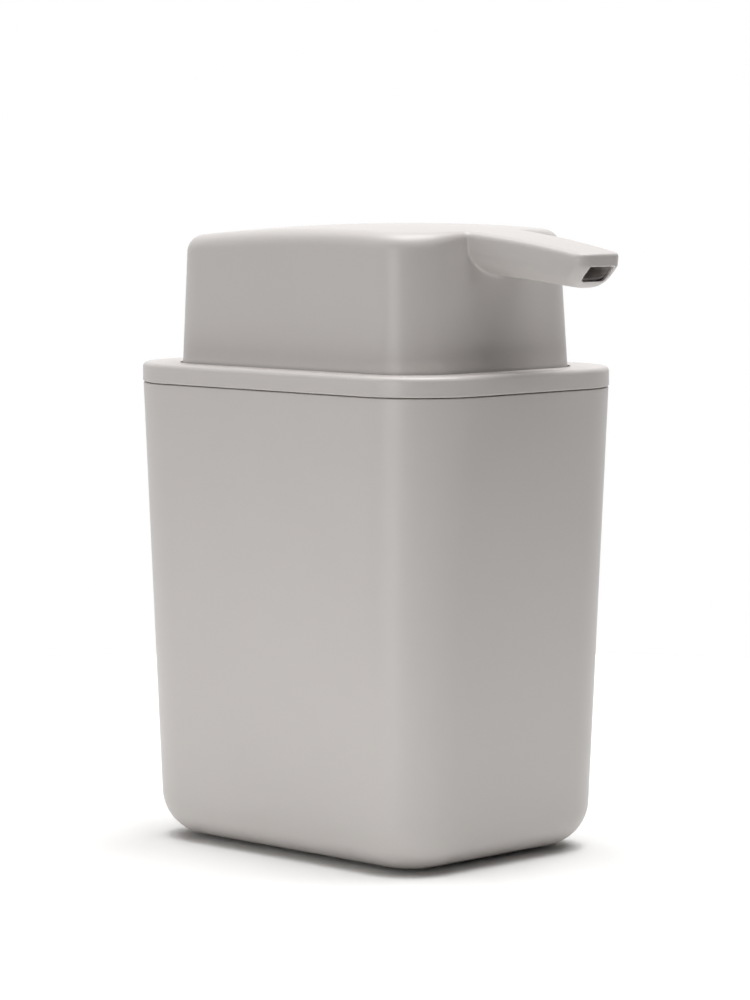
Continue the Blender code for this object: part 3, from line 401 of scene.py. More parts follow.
def turned(name, outline):
    """A closed outline of (radius, height) points with soft corners, spun round the Z axis."""
    bm = bmesh.new()
    stations = softened([[Vector((radius, 0, height))] for radius, height in outline], SOFT_EDGE)
    corners = [bm.verts.new(station[0]) for station in stations]
    for k, corner in enumerate(corners):
        bm.edges.new((corner, corners[(k + 1) % len(corners)]))
    profile, axis = bm.verts[:] + bm.edges[:], (0, 0, 1)
    bmesh.ops.spin(bm, geom=profile, axis=axis, angle=math.tau, steps=ROUND_STEPS, use_merge=True)
    bmesh.ops.remove_doubles(bm, verts=bm.verts[:], dist=MERGE_DISTANCE)
    loose = [edge for edge in bm.edges if not edge.link_faces]
    bmesh.ops.delete(bm, geom=loose, context="EDGES")
    return finish_mesh(bm, name)


def circle(radius, height, count=ROUND_STEPS):
    """Points of a circle round the Z axis."""
    angles = [k / count * math.tau for k in range(count)]
    return [Vector((radius * math.cos(a), radius * math.sin(a), height)) for a in angles]


def inside(point, border):
    """Whether a plane point lies inside a closed row of points."""
    within = False
    for k, here in enumerate(border):
        there = border[k - 1]
        if (here.y > point.y) != (there.y > point.y):
            cross = here.x + (point.y - here.y) / (there.y - here.y) * (there.x - here.x)
            within ^= point.x < cross
    return within


def fill(bm, border, flatten, lift):
    """Fills a closed row of vertices with a net of even triangles.

    Flatten gives the plane point of a place, and lift the place of a plane point.
    """
    rim = [flatten(vertex.co) for vertex in border]
    low_x, low_y = min(p.x for p in rim), min(p.y for p in rim)
    columns = int((max(p.x for p in rim) - low_x) / NET_SPACING) + 1
    rows = int((max(p.y for p in rim) - low_y) / NET_SPACING) + 1
    clearance = NET_CLEARANCE_SHARE * NET_SPACING
    inner = []
    for row in range(rows):
        stagger = 0.5 if row % 2 else 0
        for column in range(columns):
            point = Vector((low_x + (column + stagger) * NET_SPACING, low_y + row * NET_SPACING))
            clear = min((point - p).length_squared for p in rim) > clearance**2
            if clear and inside(point, rim):
                inner.append(point)
    made = delaunay_2d_cdt(rim + inner, [], [list(range(len(rim)))], 1, NET_TOLERANCE)
    corners = border + [bm.verts.new(lift(point)) for point in inner]
    for triangle in made[2]:
        bm.faces.new([corners[made[3][k][0]] for k in triangle])


def baked(piece):
    """Replaces a piece's modifiers by the mesh that they give, and drops their tools."""
    tools = [m.object for m in piece.modifiers if m.type == "BOOLEAN"]
    bpy.context.view_layer.update()
    graph = bpy.context.evaluated_depsgraph_get()
    mesh = bpy.data.meshes.new_from_object(piece.evaluated_get(graph))
    bm = bmesh.new()
    bm.from_mesh(mesh)
    bmesh.ops.remove_doubles(bm, verts=bm.verts[:], dist=MERGE_DISTANCE)
    bm.to_mesh(mesh)
    bm.free()
    piece.modifiers.clear()
    piece.data = mesh
    for tool in tools:
        bpy.data.objects.remove(tool)
    return piece


def carve(piece, tool, operation="DIFFERENCE"):
    """Cuts a tool from a piece, or joins it on."""
    modifier = piece.modifiers.new(tool.name, "BOOLEAN")
    modifier.solver = "EXACT"
    modifier.operation = operation
    modifier.object = tool
    tool.hide_render = True


def add_node(tree, kind, inputs=None, **settings):
    """Adds a node. An input is a value, an output to link from, or a node for its first output."""
    node = tree.nodes.new(kind)
    for name, value in settings.items():
        setattr(node, name, value)
    for name, value in (inputs or {}).items():
        source = value.outputs[0] if isinstance(value, bpy.types.Node) else value
        if isinstance(source, bpy.types.NodeSocket):
            tree.links.new(source, node.inputs[name])
        else:
            node.inputs[name].default_value = value
    return node


def join_detail(piece, name, values, material, make_detail):
    """Geometry Nodes modifier that joins a repeated detail to a piece, baked into its mesh.

    Make_detail adds the detail's own nodes and returns the last. Values are the named inputs,
    which the modifier knows by their sockets' identifiers.
    """
    tree = bpy.data.node_groups.new(name, "GeometryNodeTree")
    add_socket = tree.interface.new_socket
    add_socket("Piece", in_out="INPUT", socket_type="NodeSocketGeometry")
    identifiers = {}
    for label, value in values.items():
        kind = "NodeSocketInt" if isinstance(value, int) else "NodeSocketFloat"
        identifiers[label] = add_socket(label, in_out="INPUT", socket_type=kind).identifier
    add_socket("Detailed", in_out="OUTPUT", socket_type="NodeSocketGeometry")
    given = add_node(tree, "NodeGroupInput").outputs
    joined = add_node(tree, "GeometryNodeJoinGeometry", {0: given["Piece"]})
    tree.links.new(make_detail(tree, given).outputs[0], joined.inputs[0])
    real = add_node(tree, "GeometryNodeRealizeInstances", {"Geometry": joined})
    coated = add_node(tree, "GeometryNodeSetMaterial", {"Geometry": real, "Material": material})
    add_node(tree, "NodeGroupOutput", {"Detailed": coated})
    modifier = piece.modifiers.new(name, "NODES")
    modifier.node_group = tree
    for label, value in values.items():
        modifier[identifiers[label]] = value
    return baked(piece)


# Container and pad


def body_outline(height, distance):
    """The container's outline at a height, moved in by a distance."""
    share = (height - BODY_FOOT) / (RIM_TOP - BODY_FOOT)
    outline = [mix(low, high, share) for low, high in zip(FOOT_OUTLINE, RIM_OUTLINE)]
    return inset(outline, distance)


def pad_outline():
    """The pad lies inside the round edge of the foot."""
    return body_outline(BODY_FOOT, FOOT_EDGE + PAD_MARGIN)


def container_shell():
    """Open tapered box with a round foot, a recess for the pad and an even wall."""
    recess = inset(pad_outline(), -SLIDE_GAP)
    seat = PAD_TOP + SEAT_GAP
    floor, foot_steps = seat + BODY_FLOOR, 2 * EDGE_STEPS
    inner_edge = arc(FOOT_EDGE - BODY_WALL, foot_steps)[::-1]
    wall = [(distance, BODY_FOOT + rise) for distance, rise in arc(FOOT_EDGE, foot_steps)]
    wall += [(distance, RIM_TOP - drop) for distance, drop in arc(RIM_EDGE)[::-1]]
    wall += [(BODY_WALL - distance, RIM_TOP - drop) for distance, drop in arc(RIM_EDGE)]
    wall += [(BODY_WALL + distance, floor + rise) for distance, rise in inner_edge]
    rings = [rounded_ring(recess, seat), rounded_ring(recess, BODY_FOOT)]
    rings += [rounded_ring(body_outline(height, distance), height) for distance, height in wall]
    return loft("container_shell", softened(rings, SOFT_EDGE, closed=False))


def foot_pad():
    """Soft plate that stands on moulded studs."""
    outline = pad_outline()
    edge = [(inset(outline, distance), STUD_HEIGHT + rise) for distance, rise in arc(PAD_EDGE)]
    plate = loft("foot_pad", [rounded_ring(*level) for level in edge + [(outline, PAD_TOP)]])
    width, depth = (size - 2 * STUD_SPACING for size in outline[:2])
    values = {
        "Field width": width,
        "Field depth": depth,
        "Columns": round(width / STUD_SPACING) + 1,
        "Rows": round(depth / STUD_SPACING) + 1,
        "Foot radius": STUD_FOOT_SHARE * STUD_RADIUS,
        "Root radius": STUD_RADIUS,
        "Stud length": 2 * STUD_HEIGHT,
    }
    return join_detail(plate, "moulded_studs", values, PAD_ELASTOMER, stud_field)


def stud_field(tree, given):
    """Nodes for a grid of round studs under the plate."""
    size = {"Size X": given["Field width"], "Size Y": given["Field depth"]}
    count = {"Vertices X": given["Columns"], "Vertices Y": given["Rows"]}
    field = add_node(tree, "GeometryNodeMeshGrid", size | count)
    facets = {"Vertices": STUD_STEPS, "Side Segments": 2, "Depth": given["Stud length"]}
    radii = {"Radius Top": given["Root radius"], "Radius Bottom": given["Foot radius"]}
    stud = add_node(tree, "GeometryNodeMeshCone", facets | radii)
    return add_node(tree, "GeometryNodeInstanceOnPoints", {"Points": field, "Instance": stud})


# Lid


def head_outline(height, distance):
    """The head's outline below its shoulder, moved in by a distance."""
    share = (height - SKIRT_FOOT) / (WALL_TOP - SKIRT_FOOT)
    outline = [mix(low, high, share) for low, high in zip(HEAD_FOOT, HEAD_SHOULDER)]
    return inset(outline, distance)


def lid_moulding():
    """Collar with its seal land, the well for the head and the pump's neck."""
    collar_foot = COLLAR_TOP - COLLAR_HEIGHT
    well_floor = LID_FOOT + LID_FLOOR
    neck_top = well_floor + NECK_HEIGHT
    land_foot = SEAL_FOOT - SEAT_GAP - LAND_LIP
    groove_foot, groove_top = SEAL_FOOT - SEAT_GAP, SEAL_TOP + SEAT_GAP
    well = head_outline(SKIRT_FOOT, -WELL_GAP)
    well_back = inset(well, -WELL_WALL)
    collar = body_outline(RIM_TOP, -COLLAR_OVERHANG)
    land = body_outline(SEAL_FOOT, BODY_WALL + LAND_GAP)
    groove = body_outline(SEAL_FOOT, BODY_WALL + 2 * SLIDE_GAP + SEAL_THICKNESS)
    lead_foot, collar_edge = COLLAR_TOP - WELL_LEAD, arc(COLLAR_FOOT_EDGE)[::-1]
    levels_up = [(inset(well, -out), lead_foot + drop) for out, drop in arc(WELL_LEAD, SOFT_STEPS)[::-1]]
    levels_up += [(inset(collar, distance), COLLAR_TOP - drop) for distance, drop in arc(COLLAR_TOP_EDGE)]
    levels_up += [(inset(collar, distance), collar_foot + rise) for distance, rise in collar_edge]
    levels_up += [(land, collar_foot), (land, groove_top), (groove, groove_top), (groove, groove_foot)]
    levels_up += [(land, groove_foot), (land, land_foot + LAND_LEAD), (inset(land, LAND_LEAD), land_foot)]
    levels_up += [(well_back, land_foot), (well_back, LID_FOOT)]
    floor_ring = rounded_ring(well, well_floor)
    neck = ((NECK_BORE, LID_FOOT), (NECK_BORE, neck_top), (NECK_RADIUS, neck_top), (NECK_RADIUS, well_floor))
    rings = [round_like(floor_ring, radius, height) for radius, height in neck] + [floor_ring]
    rings += [rounded_ring(outline, height) for outline, height in levels_up]
    return loft("lid_moulding", softened(rings, SOFT_EDGE), closed=True)


def seal_ring():
    """Silicone ring with two round lips."""
    front = []
    for k in range(SEAL_STEPS):
        share = k / SEAL_STEPS
        hollow = SEAL_WAIST * (1 - (1 - math.cos(2 * math.tau * share)) / 2)
        front.append((hollow, mix(SEAL_FOOT, SEAL_TOP, share)))
    back = [(SEAL_WAIST, SEAL_TOP), (SEAL_THICKNESS, SEAL_TOP), (SEAL_THICKNESS, SEAL_FOOT)]
    rings = []
    for distance, height in front + back:
        outline = body_outline(SEAL_FOOT, BODY_WALL + SLIDE_GAP + distance)
        rings.append(rounded_ring(outline, height))
    return loft("lid_seal_ring", softened(rings, SOFT_EDGE), closed=True)


# Press head with its spout


def crown(x, y):
    """Height of the crowned top over a point of the plan."""
    fall = SIDE_FALL * (x / HALF_WIDTH) ** 2
    if y > -CREST:
        fall += BACK_FALL * ((y + CREST) / (HALF_DEPTH + CREST)) ** 2
    else:
        fall += TIP_DROP * ((y + CREST) / (SPOUT_REACH - CREST)) ** 2
    return HEAD_TOP - fall


def end_setback(height):
    """How far the end face lies behind the tip's top."""
    drop = TIP_TOP - height
    brow = math.tan(BROW_LEAN) * min(drop, BROW)
    return brow + math.tan(UNDERCUT) * max(0, drop - BROW)


def lean(reach, height, end=SPOUT_REACH):
    """How far back a section's point lies: it leans like the wall at first, the end face at last."""
    wall_share = min(1, max(0, 1 - (reach - SPOUT_ROOT) / ROOT_LEAN_LENGTH))
    forward = wall_share * WALL_SLOPE * (WALL_TOP - height)
    return max(0, reach - UPRIGHT_END) / (end - UPRIGHT_END) * end_setback(height) - forward


def spout_place(x, height, reach, end=SPOUT_REACH):
    """A point of the spout's section at a reach."""
    return Vector((x, lean(reach, height, end) - reach, height))


def drawn_in(reach, corner, end=SPOUT_REACH):
    """How far a round corner of the end draws a section in."""
    past = max(0, reach - (end - corner))
    return corner - math.sqrt(max(0, corner**2 - past**2))


def head_edge(point):
    """Radius of the head's top edge, which tightens along the front towards the spout."""
    if point.y > 0:
        return HEAD_EDGE
    span = EDGE_EASE_START - ROOT_WIDTH / 2 - ROOT_FILLET
    share = min(1, max(0, 1 - (EDGE_EASE_START - abs(point.x)) / span))
    return mix(SPOUT_EDGE, HEAD_EDGE, share * share * (3 - 2 * share))


def edge_radius(reach):
    """Radius of the spout's top edge, which tightens to the lip's at the end."""
    past = max(0, reach - (SPOUT_REACH - TIP_CORNER)) / TIP_CORNER
    return mix(SPOUT_EDGE, TIP_LIP, past)


def spout_rows():
    """Rows along the spout as (reach, flare): the root fillet, the length and the tip's corner."""
    rows = []
    for turn in quarter_turn(FILLET_ROWS)[:-1]:
        out = ROOT_FILLET * (1 - math.cos(turn))
        rows.append((SPOUT_ROOT + out, ROOT_FILLET * (1 - math.sin(turn))))
    start, end = SPOUT_ROOT + ROOT_FILLET, SPOUT_REACH - TIP_CORNER
    rows += [(mix(start, end, k / SPOUT_ROWS), 0) for k in range(SPOUT_ROWS)]
    return rows + [(end + TIP_CORNER * math.sin(turn), 0) for turn in quarter_turn(TIP_ROWS)]


def spout_half(reach, flare, distance=0.0):
    """Half the spout's width at a reach, moved in by a distance."""
    share = (reach - SPOUT_ROOT) / SPOUT_LENGTH
    return mix(ROOT_WIDTH, TIP_WIDTH, share) / 2 + flare - distance - drawn_in(reach, TIP_CORNER)


def spout_section(reach, flare, distance=0.0):
    """Flanks and belly of a section as (x, height), from its left top round to its right top."""
    share = (reach - SPOUT_ROOT) / SPOUT_LENGTH
    half = spout_half(reach, flare, distance)
    side = HEAD_TOP - mix(ROOT_FLANK, TIP_DROP + BROW, share)
    bottom = HEAD_TOP - mix(ROOT_BELLY, TIP_BELLY, share) - BELLY_FLARE * flare + distance
    bottom += drawn_in(reach, SOLE_CORNER)
    power = 2 / mix(ROOT_FULLNESS, TIP_FULLNESS, share)
    top = crown(half, -reach) - edge_radius(reach)
    right = [(half, mix(top, side, k / FLANK_STEPS)) for k in range(FLANK_STEPS)]
    for turn in quarter_turn(BELLY_STEPS):
        x = half * max(0, math.cos(turn)) ** power
        right.append((x, side - (side - bottom) * math.sin(turn) ** power))
    return [(-x, z) for x, z in right] + right[-2::-1]


def head_path(outline, shift, root):
    """Plan points of the head from the spout's right root round the back to its left root."""
    front, back = -outline[1] / 2, Vector((0, shift))
    path = [Vector((root, front)) + back]
    for side_x, side_y, start in ((1, -1, -1), (1, 1, 0), (-1, 1, 1), (-1, -1, 2)):
        points = [point + back for point in corner_points(outline, side_x, side_y, start * math.pi / 2)]
        path += filled_run(path[-1], points[0]) + points
    last = Vector((-root, front)) + back
    return path + filled_run(path[-1], last) + [last]


def filled_run(start, end):
    """Even points between two ends of a straight side of the head."""
    count = HEAD_RUN_POINTS if (end - start).length > SHORT_RUN else SHORT_RUN_POINTS
    return between(start, end, count)


def plan_normals(path):
    """Outward directions of a closed path that runs anticlockwise."""
    along = [path[(k + 1) % len(path)] - path[k - 1] for k in range(len(path))]
    return [Vector((step.y, -step.x)).normalized() for step in along]


def head_form():
    """Closed outer form of the press head: crowned top, round edges, walls and spout."""
    bm = bmesh.new()
    rows = spout_rows()
    root = spout_half(*rows[0])
    upper = head_path(HEAD_SHOULDER, HEAD_LEAN, root)
    lower = head_path(HEAD_FOOT, 0, root)
    flank = [Vector((spout_half(*row), -row[0])) for row in rows[1:]]
    half, shares = flank[-1].x, [k / TIP_POINTS for k in range(1, TIP_POINTS)]
    tip = [Vector((mix(-half, half, share), -SPOUT_REACH)) for share in shares]
    plan = upper + [Vector((-p.x, p.y)) for p in flank] + tip + flank[::-1]
    rings = top_edge(bm, plan, lower)
    fill(bm, rings[-1], lambda place: place.xy, lambda point: Vector((*point, crown(*point))))
    add_head_walls(bm, rings[0], lower, rows)
    return finish_mesh(bm, "press_head")


def top_edge(bm, plan, lower):
    """Rings of vertices over the top's round edge, from the walls' top to the crown."""
    normals = plan_normals(plan)
    rings = []
    for turn in quarter_turn(EDGE_STEPS)[::-1]:
        ring = []
        for index, (point, normal) in enumerate(zip(plan, normals)):
            on_head = index < len(lower)
            radius = head_edge(point) if on_head else edge_radius(-point.y)
            place = point - normal * radius * (1 - math.sin(turn))
            height = crown(place.x, place.y) - radius * (1 - math.cos(turn))
            if on_head:
                place += (lower[index] - point) * (WALL_TOP - height) / (WALL_TOP - SKIRT_FOOT)
            else:
                place.y += lean(-point.y, height)
            ring.append(bm.verts.new((*place, height)))
        rings.append(ring)
    add_bands(bm, rings)
    return rings


def add_head_walls(bm, rim, lower, rows):
    """Walls down to the skirt's foot, the spout's flanks and belly, its end face and the sole."""
    head = rim[: len(lower)]
    top = head[0].co.z
    heights = [z for x, z in spout_section(*rows[0])[1 : FLANK_STEPS + 1]]
    heights += [mix(heights[-1], SKIRT_FOOT, k / WALL_ROWS) for k in range(1, WALL_ROWS + 1)]
    columns = [head]
    for height in heights:
        share = (top - height) / (top - SKIRT_FOOT)
        feet = [Vector((*point, SKIRT_FOOT)) for point in lower]
        columns.append([bm.verts.new(vertex.co.lerp(foot, share)) for vertex, foot in zip(head, feet)])
    add_bands(bm, columns, closed=False)
    left = [head[-1]] + rim[len(lower) : len(lower) + len(rows) - 1]
    right = [head[0]] + rim[: -len(rows) : -1]
    sections = []
    for (reach, flare), start, end in zip(rows, left, right):
        section = spout_section(reach, flare)
        middle = [bm.verts.new(spout_place(x, z, reach)) for x, z in section[1:-1]]
        sections.append([start] + middle + [end])
    for k in range(1, FLANK_STEPS + 1):
        for index, shared in ((k, columns[k][-1]), (-1 - k, columns[k][0])):
            bm.verts.remove(sections[0][index])
            sections[0][index] = shared
    add_bands(bm, sections, closed=False)
    close_end(bm, sections[-1], rim[len(lower) + len(rows) - 1 : len(rim) - len(rows) + 1])
    close_front(bm, columns, sections[0])


def close_end(bm, section, tip):
    """The end face, in level strips, which are flat each."""
    bm.faces.new([section[0]] + tip + [section[-1], section[-2], section[1]])
    for k in range(1, len(section) // 2):
        strip = [section[k], section[-1 - k], section[-2 - k], section[k + 1]]
        bm.faces.new(list(dict.fromkeys(strip)))


def close_front(bm, columns, section):
    """The front wall under the spout, and the flat foot of the whole form."""
    left_foot, right_foot = columns[-1][-1].co, columns[-1][0].co
    foot = [bm.verts.new(place) for place in between(left_foot, right_foot, FOOT_STEPS - 1)]
    below = columns[FLANK_STEPS:]
    border = [ring[-1] for ring in below] + foot + [ring[0] for ring in below[::-1]]
    border += section[-2 - FLANK_STEPS : FLANK_STEPS : -1]
    fill(bm, border, lambda place: place.xz, lambda point: spout_place(*point, SPOUT_ROOT))
    bm.faces.new(columns[-1] + foot)


def head_hollow():
    """Cutter for the inside of the head, which leaves the wall, the ribs and the boss standing."""
    shoulder = inset(HEAD_SHOULDER, HEAD_WALL)
    rings = [rounded_ring(head_outline(SKIRT_FOOT - OVERRUN, HEAD_WALL), SKIRT_FOOT - OVERRUN)]
    for inward, drop in reversed(arc(HEAD_EDGE - HEAD_WALL)):
        plan = [(point.x, point.y + HEAD_LEAN) for point in rounded_ring(inset(shoulder, inward), 0)]
        rings.append([Vector((x, y, crown(x, y) - HEAD_WALL - drop)) for x, y in plan])
    flat = rings[-1]
    for tenths in range(9, 0, -1):
        places = [(tenths / 10 * point.x, tenths / 10 * point.y) for point in flat]
        rings.append([Vector((x, y, crown(x, y) - HEAD_WALL)) for x, y in places])
    hollow = loft("head_hollow", rings)
    boss = [circle(BOSS_RADIUS / 2, BOSS_FOOT), circle(BOSS_RADIUS, BOSS_FOOT), circle(BOSS_RADIUS, HEAD_TOP)]
    carve(hollow, loft("duct_boss", softened(boss, SOFT_EDGE, closed=False)))
    carve(hollow, stiffening_rib("cross_rib", (-HALF_WIDTH, 0), (HALF_WIDTH, 0)))
    for name, x in (("left_rib", -RIB_OFFSET), ("right_rib", RIB_OFFSET)):
        carve(hollow, stiffening_rib(name, (x, -HALF_DEPTH), (x, HALF_DEPTH)))
    return baked(hollow)


def stiffening_rib(name, start, end):
    """An upright rib between two points of the plan, with a round lower edge."""
    start, end = Vector(start), Vector(end)
    across = (end - start).normalized().orthogonal()
    half = RIB_THICKNESS / 2
    side = [(half, HEAD_TOP)] + [(half - inward, RIB_FOOT + rise) for inward, rise in arc(RIB_EDGE)[::-1]]
    profile = side + [(-out, height) for out, height in reversed(side)]
    ends = [[(middle + across * out, height) for out, height in profile] for middle in (start, end)]
    return loft(name, [[Vector((*point, height)) for point, height in ring] for ring in ends])


def spout_bore():
    """Cutter that leaves a thin wall inside the spout."""
    start, end = SPOUT_ROOT - HEAD_WALL - BORE_START, SPOUT_REACH - SPOUT_WALL
    rings = []
    for k in range(SPOUT_ROWS + 1):
        reach = mix(start, end, k / SPOUT_ROWS)
        half = spout_half(reach, 0, SPOUT_WALL)
        edge = arc(max(edge_radius(reach) - SPOUT_WALL, BORE_CORNER))[:-1]
        roof = [(half - inward, crown(half - inward, -reach) - SPOUT_WALL - drop) for inward, drop in edge]
        section = [(-x, z) for x, z in roof] + spout_section(reach, 0, SPOUT_WALL) + roof[::-1]
        rings.append([spout_place(x, z, reach, end) for x, z in section])
    return loft("spout_bore", rings)


def outlet_window():
    """Cutter for the outlet, which flares a little where it leaves the end face."""
    sections = [(SPOUT_REACH - OVERRUN, 0)]
    sections += [(SPOUT_REACH - depth, flare) for depth, flare in arc(OUTLET_LIP, OUTLET_LIP_STEPS)]
    sections.append((SPOUT_REACH + OVERRUN, OUTLET_LIP + OVERRUN))
    rings = []
    for reach, flare in sections:
        outline = outlet_section(flare)
        rings.append([Vector((x, end_setback(height) - reach, height)) for x, height in outline])
    return loft("outlet_window", rings)


def outlet_section(flare):
    """The window's outline as (x, height): square above and rounder below."""
    half = OUTLET_HALF_WIDTH + flare
    top = TIP_TOP - BROW + flare
    foot = TIP_SOLE + OUTLET_SOLE - flare
    right = [(half - inward, top - drop) for inward, drop in arc(OUTLET_TOP_CORNER + flare)]
    lower = arc(OUTLET_FOOT_CORNER + flare)
    right += [(half - inward, foot + rise) for inward, rise in reversed(lower)]
    return right + [(-x, height) for x, height in reversed(right)]


def press_head():
    """The press head, hollow inside, with the outlet cut in its spout's end face."""
    head = head_form()
    for tool in (head_hollow(), spout_bore(), outlet_window(), boss_slot(), socket_space()):
        carve(head, tool)
    return baked(head)


def boss_slot():
    """Cutter for the nozzle's way out of the boss."""
    return loft("boss_slot", [nozzle_section(reach, -SLIDE_GAP) for reach in (0, BOSS_RADIUS + OVERRUN)])


def socket_space():
    """Cutter for the duct's socket in the boss."""
    heights = (BOSS_FOOT - OVERRUN, DUCT_TOP + SEAT_GAP)
    return loft("socket_space", [circle(DUCT_SOCKET_RADIUS + SLIDE_GAP, height) for height in heights])


# Duct


def nozzle_section(reach, distance, end=SPOUT_REACH):
    """A full oval section of the duct, moved in by a distance."""
    share = max(0, (reach - SPOUT_ROOT) / SPOUT_LENGTH)
    middle = mix(DUCT_MIDDLE, (TIP_TOP + TIP_SOLE) / 2, share)
    inward = SPOUT_WALL + SLIDE_GAP + distance
    half_width = TIP_WIDTH / 2 - inward - drawn_in(reach, DUCT_CORNER, end)
    half_height = (TIP_TOP - TIP_SOLE) / 2 - inward
    power = 2 / DUCT_FULLNESS
    slant = max(0, reach - UPRIGHT_END) / (end - UPRIGHT_END)
    ring = []
    for k in range(4 * DUCT_STEPS):
        turn = (k + 0.5) / (4 * DUCT_STEPS) * math.tau
        x = math.copysign(half_width * abs(math.cos(turn)) ** power, math.cos(turn))
        rise = math.copysign(half_height * abs(math.sin(turn)) ** power, math.sin(turn))
        height = middle + rise
        ring.append(Vector((x, slant * end_setback(height) - reach, height)))
    return ring


def nozzle(name, distance, start, end):
    """A length of the duct's outer form, or of its passage when moved in by the wall."""
    reaches = [start] + [mix(SPOUT_ROOT, end - DUCT_CORNER, k / DUCT_ROWS) for k in range(DUCT_ROWS)]
    reaches += [end - DUCT_CORNER * (1 - math.sin(turn)) for turn in quarter_turn(EDGE_STEPS)]
    return loft(name, [nozzle_section(reach, distance, end) for reach in reaches])


def soap_duct():
    """Socket over the stem and the nozzle to the outlet, with one passage through both."""
    end = SPOUT_REACH - SPOUT_WALL - SLIDE_GAP
    radius, bore = DUCT_SOCKET_RADIUS, STEM_RADIUS + SLIDE_GAP
    foot, stop = SOCKET_FOOT - OVERRUN, STEM_TOP + SEAT_GAP
    socket = [(0, SOCKET_FOOT), (radius, SOCKET_FOOT), (radius, DUCT_TOP), (0, DUCT_TOP)]
    riser = [(0, foot), (bore, foot), (bore, stop), (STEM_BORE, stop), (STEM_BORE, DUCT_MIDDLE)]
    duct = turned("soap_duct", socket)
    carve(duct, nozzle("nozzle_form", 0, 0, end), "UNION")
    carve(duct, turned("riser", riser + [(0, DUCT_MIDDLE)]))
    carve(duct, nozzle("passage", DUCT_WALL, -DUCT_BACK, end + OVERRUN))
    return baked(duct)


# Pump


def closure_nut():
    """Nut over the neck and the barrel's flange, with moulded grip ribs."""
    outer, inner = NUT_RADIUS - RIB_HEIGHT, NUT_RADIUS - NUT_WALL
    hole = GUIDE_RADIUS + SLIDE_GAP
    outline = [(inner, NUT_FOOT), (inner, CAP_FOOT), (hole, CAP_FOOT), (hole, NUT_TOP)]
    outline += [(inner + NUT_SHOULDER, NUT_TOP), (outer, CAP_FOOT), (outer, NUT_FOOT)]
    length = CAP_FOOT - NUT_FOOT - 2 * RIB_MARGIN
    values = {
        "Ribs": NUT_RIBS,
        "Radius": outer,
        "Rib length": length,
        "Rib middle": NUT_FOOT + RIB_MARGIN + length / 2,
        "Rib half width": RIB_HALF_WIDTH,
        "Rib height": RIB_HEIGHT,
    }
    return join_detail(turned("closure_nut", outline), "grip_ribs", values, WHITE_PP, grip_ribs)


def grip_ribs(tree, given):
    """Nodes for flattened round bars, evenly round the nut."""
    ring = add_node(tree, "GeometryNodeMeshCircle", {"Vertices": given["Ribs"], "Radius": given["Radius"]})
    raised = add_node(tree, "ShaderNodeCombineXYZ", {"Z": given["Rib middle"]})
    placed = add_node(tree, "GeometryNodeSetPosition", {"Geometry": ring, "Offset": raised})
    facets = {"Vertices": RIB_STEPS, "Radius": 1.0, "Depth": given["Rib length"]}
    bar = add_node(tree, "GeometryNodeMeshCylinder", facets)
    section = {"X": given["Rib height"], "Y": given["Rib half width"], "Z": 1.0}
    size = add_node(tree, "ShaderNodeCombineXYZ", section)
    shaped = add_node(tree, "GeometryNodeTransform", {"Geometry": bar, "Scale": size})
    outward = add_node(tree, "GeometryNodeInputPosition")
    flat = {0: outward, 1: (1.0, 1.0, 0.0)}
    level = add_node(tree, "ShaderNodeVectorMath", flat, operation="MULTIPLY")
    turn = add_node(tree, "FunctionNodeAlignRotationToVector", {"Vector": level}, axis="X")
    bars = {"Points": placed, "Instance": shaped, "Rotation": turn}
    return add_node(tree, "GeometryNodeInstanceOnPoints", bars)


def sealing_gasket():
    """Flat ring between the neck and the barrel's flange."""
    outline = [(NECK_BORE, GASKET_FOOT), (FLANGE_RADIUS, GASKET_FOOT)]
    outline += [(FLANGE_RADIUS, GASKET_TOP), (NECK_BORE, GASKET_TOP)]
    return turned("sealing_gasket", outline)


def pump_barrel():
    """Barrel with its flange, the ball's cage and seat, and the suction tube's socket."""
    outer = BARREL_RADIUS + BARREL_WALL
    bead_foot = BARREL_FLOOR - BEAD_HEIGHT
    tube_stop = TUBE_TOP + SEAT_GAP
    socket = TUBE_RADIUS + SLIDE_GAP
    flange_foot = FLANGE_TOP - FLANGE_THICKNESS
    bore = [(BARREL_RADIUS, FLANGE_TOP), (BARREL_RADIUS, BARREL_FLOOR), (CAGE_BEAD, BARREL_FLOOR)]
    cage = [(CAGE_BEAD, bead_foot), (CAGE_RADIUS, bead_foot), (CAGE_RADIUS, SEAT_HEIGHT + SEAT_CONE)]
    seat = [(SEAT_RADIUS, SEAT_HEIGHT), (SEAT_RADIUS, tube_stop), (socket, tube_stop)]
    foot = [(socket, TUBE_SOCKET_FOOT), (TUBE_SOCKET_RADIUS, TUBE_SOCKET_FOOT), (CAGE_OUTER, tube_stop)]
    wall = [(CAGE_OUTER, BARREL_FLOOR - outer + CAGE_OUTER), (outer, BARREL_FLOOR), (outer, flange_foot)]
    flange = [(FLANGE_RADIUS, flange_foot), (FLANGE_RADIUS, FLANGE_TOP)]
    return turned("pump_barrel", bore + cage + seat + foot + wall + flange)


def guide_cap():
    """Cap of the barrel, whose long collar guides the stem."""
    bore, plug = STEM_RADIUS + SLIDE_GAP, BARREL_RADIUS - SLIDE_GAP
    outline = [(bore, GUIDE_FOOT), (plug, GUIDE_FOOT), (plug, CAP_FOOT)]
    outline += [(GUIDE_RADIUS, CAP_FOOT), (GUIDE_RADIUS, CAP_TOP), (bore, CAP_TOP)]
    return turned("guide_cap", outline)


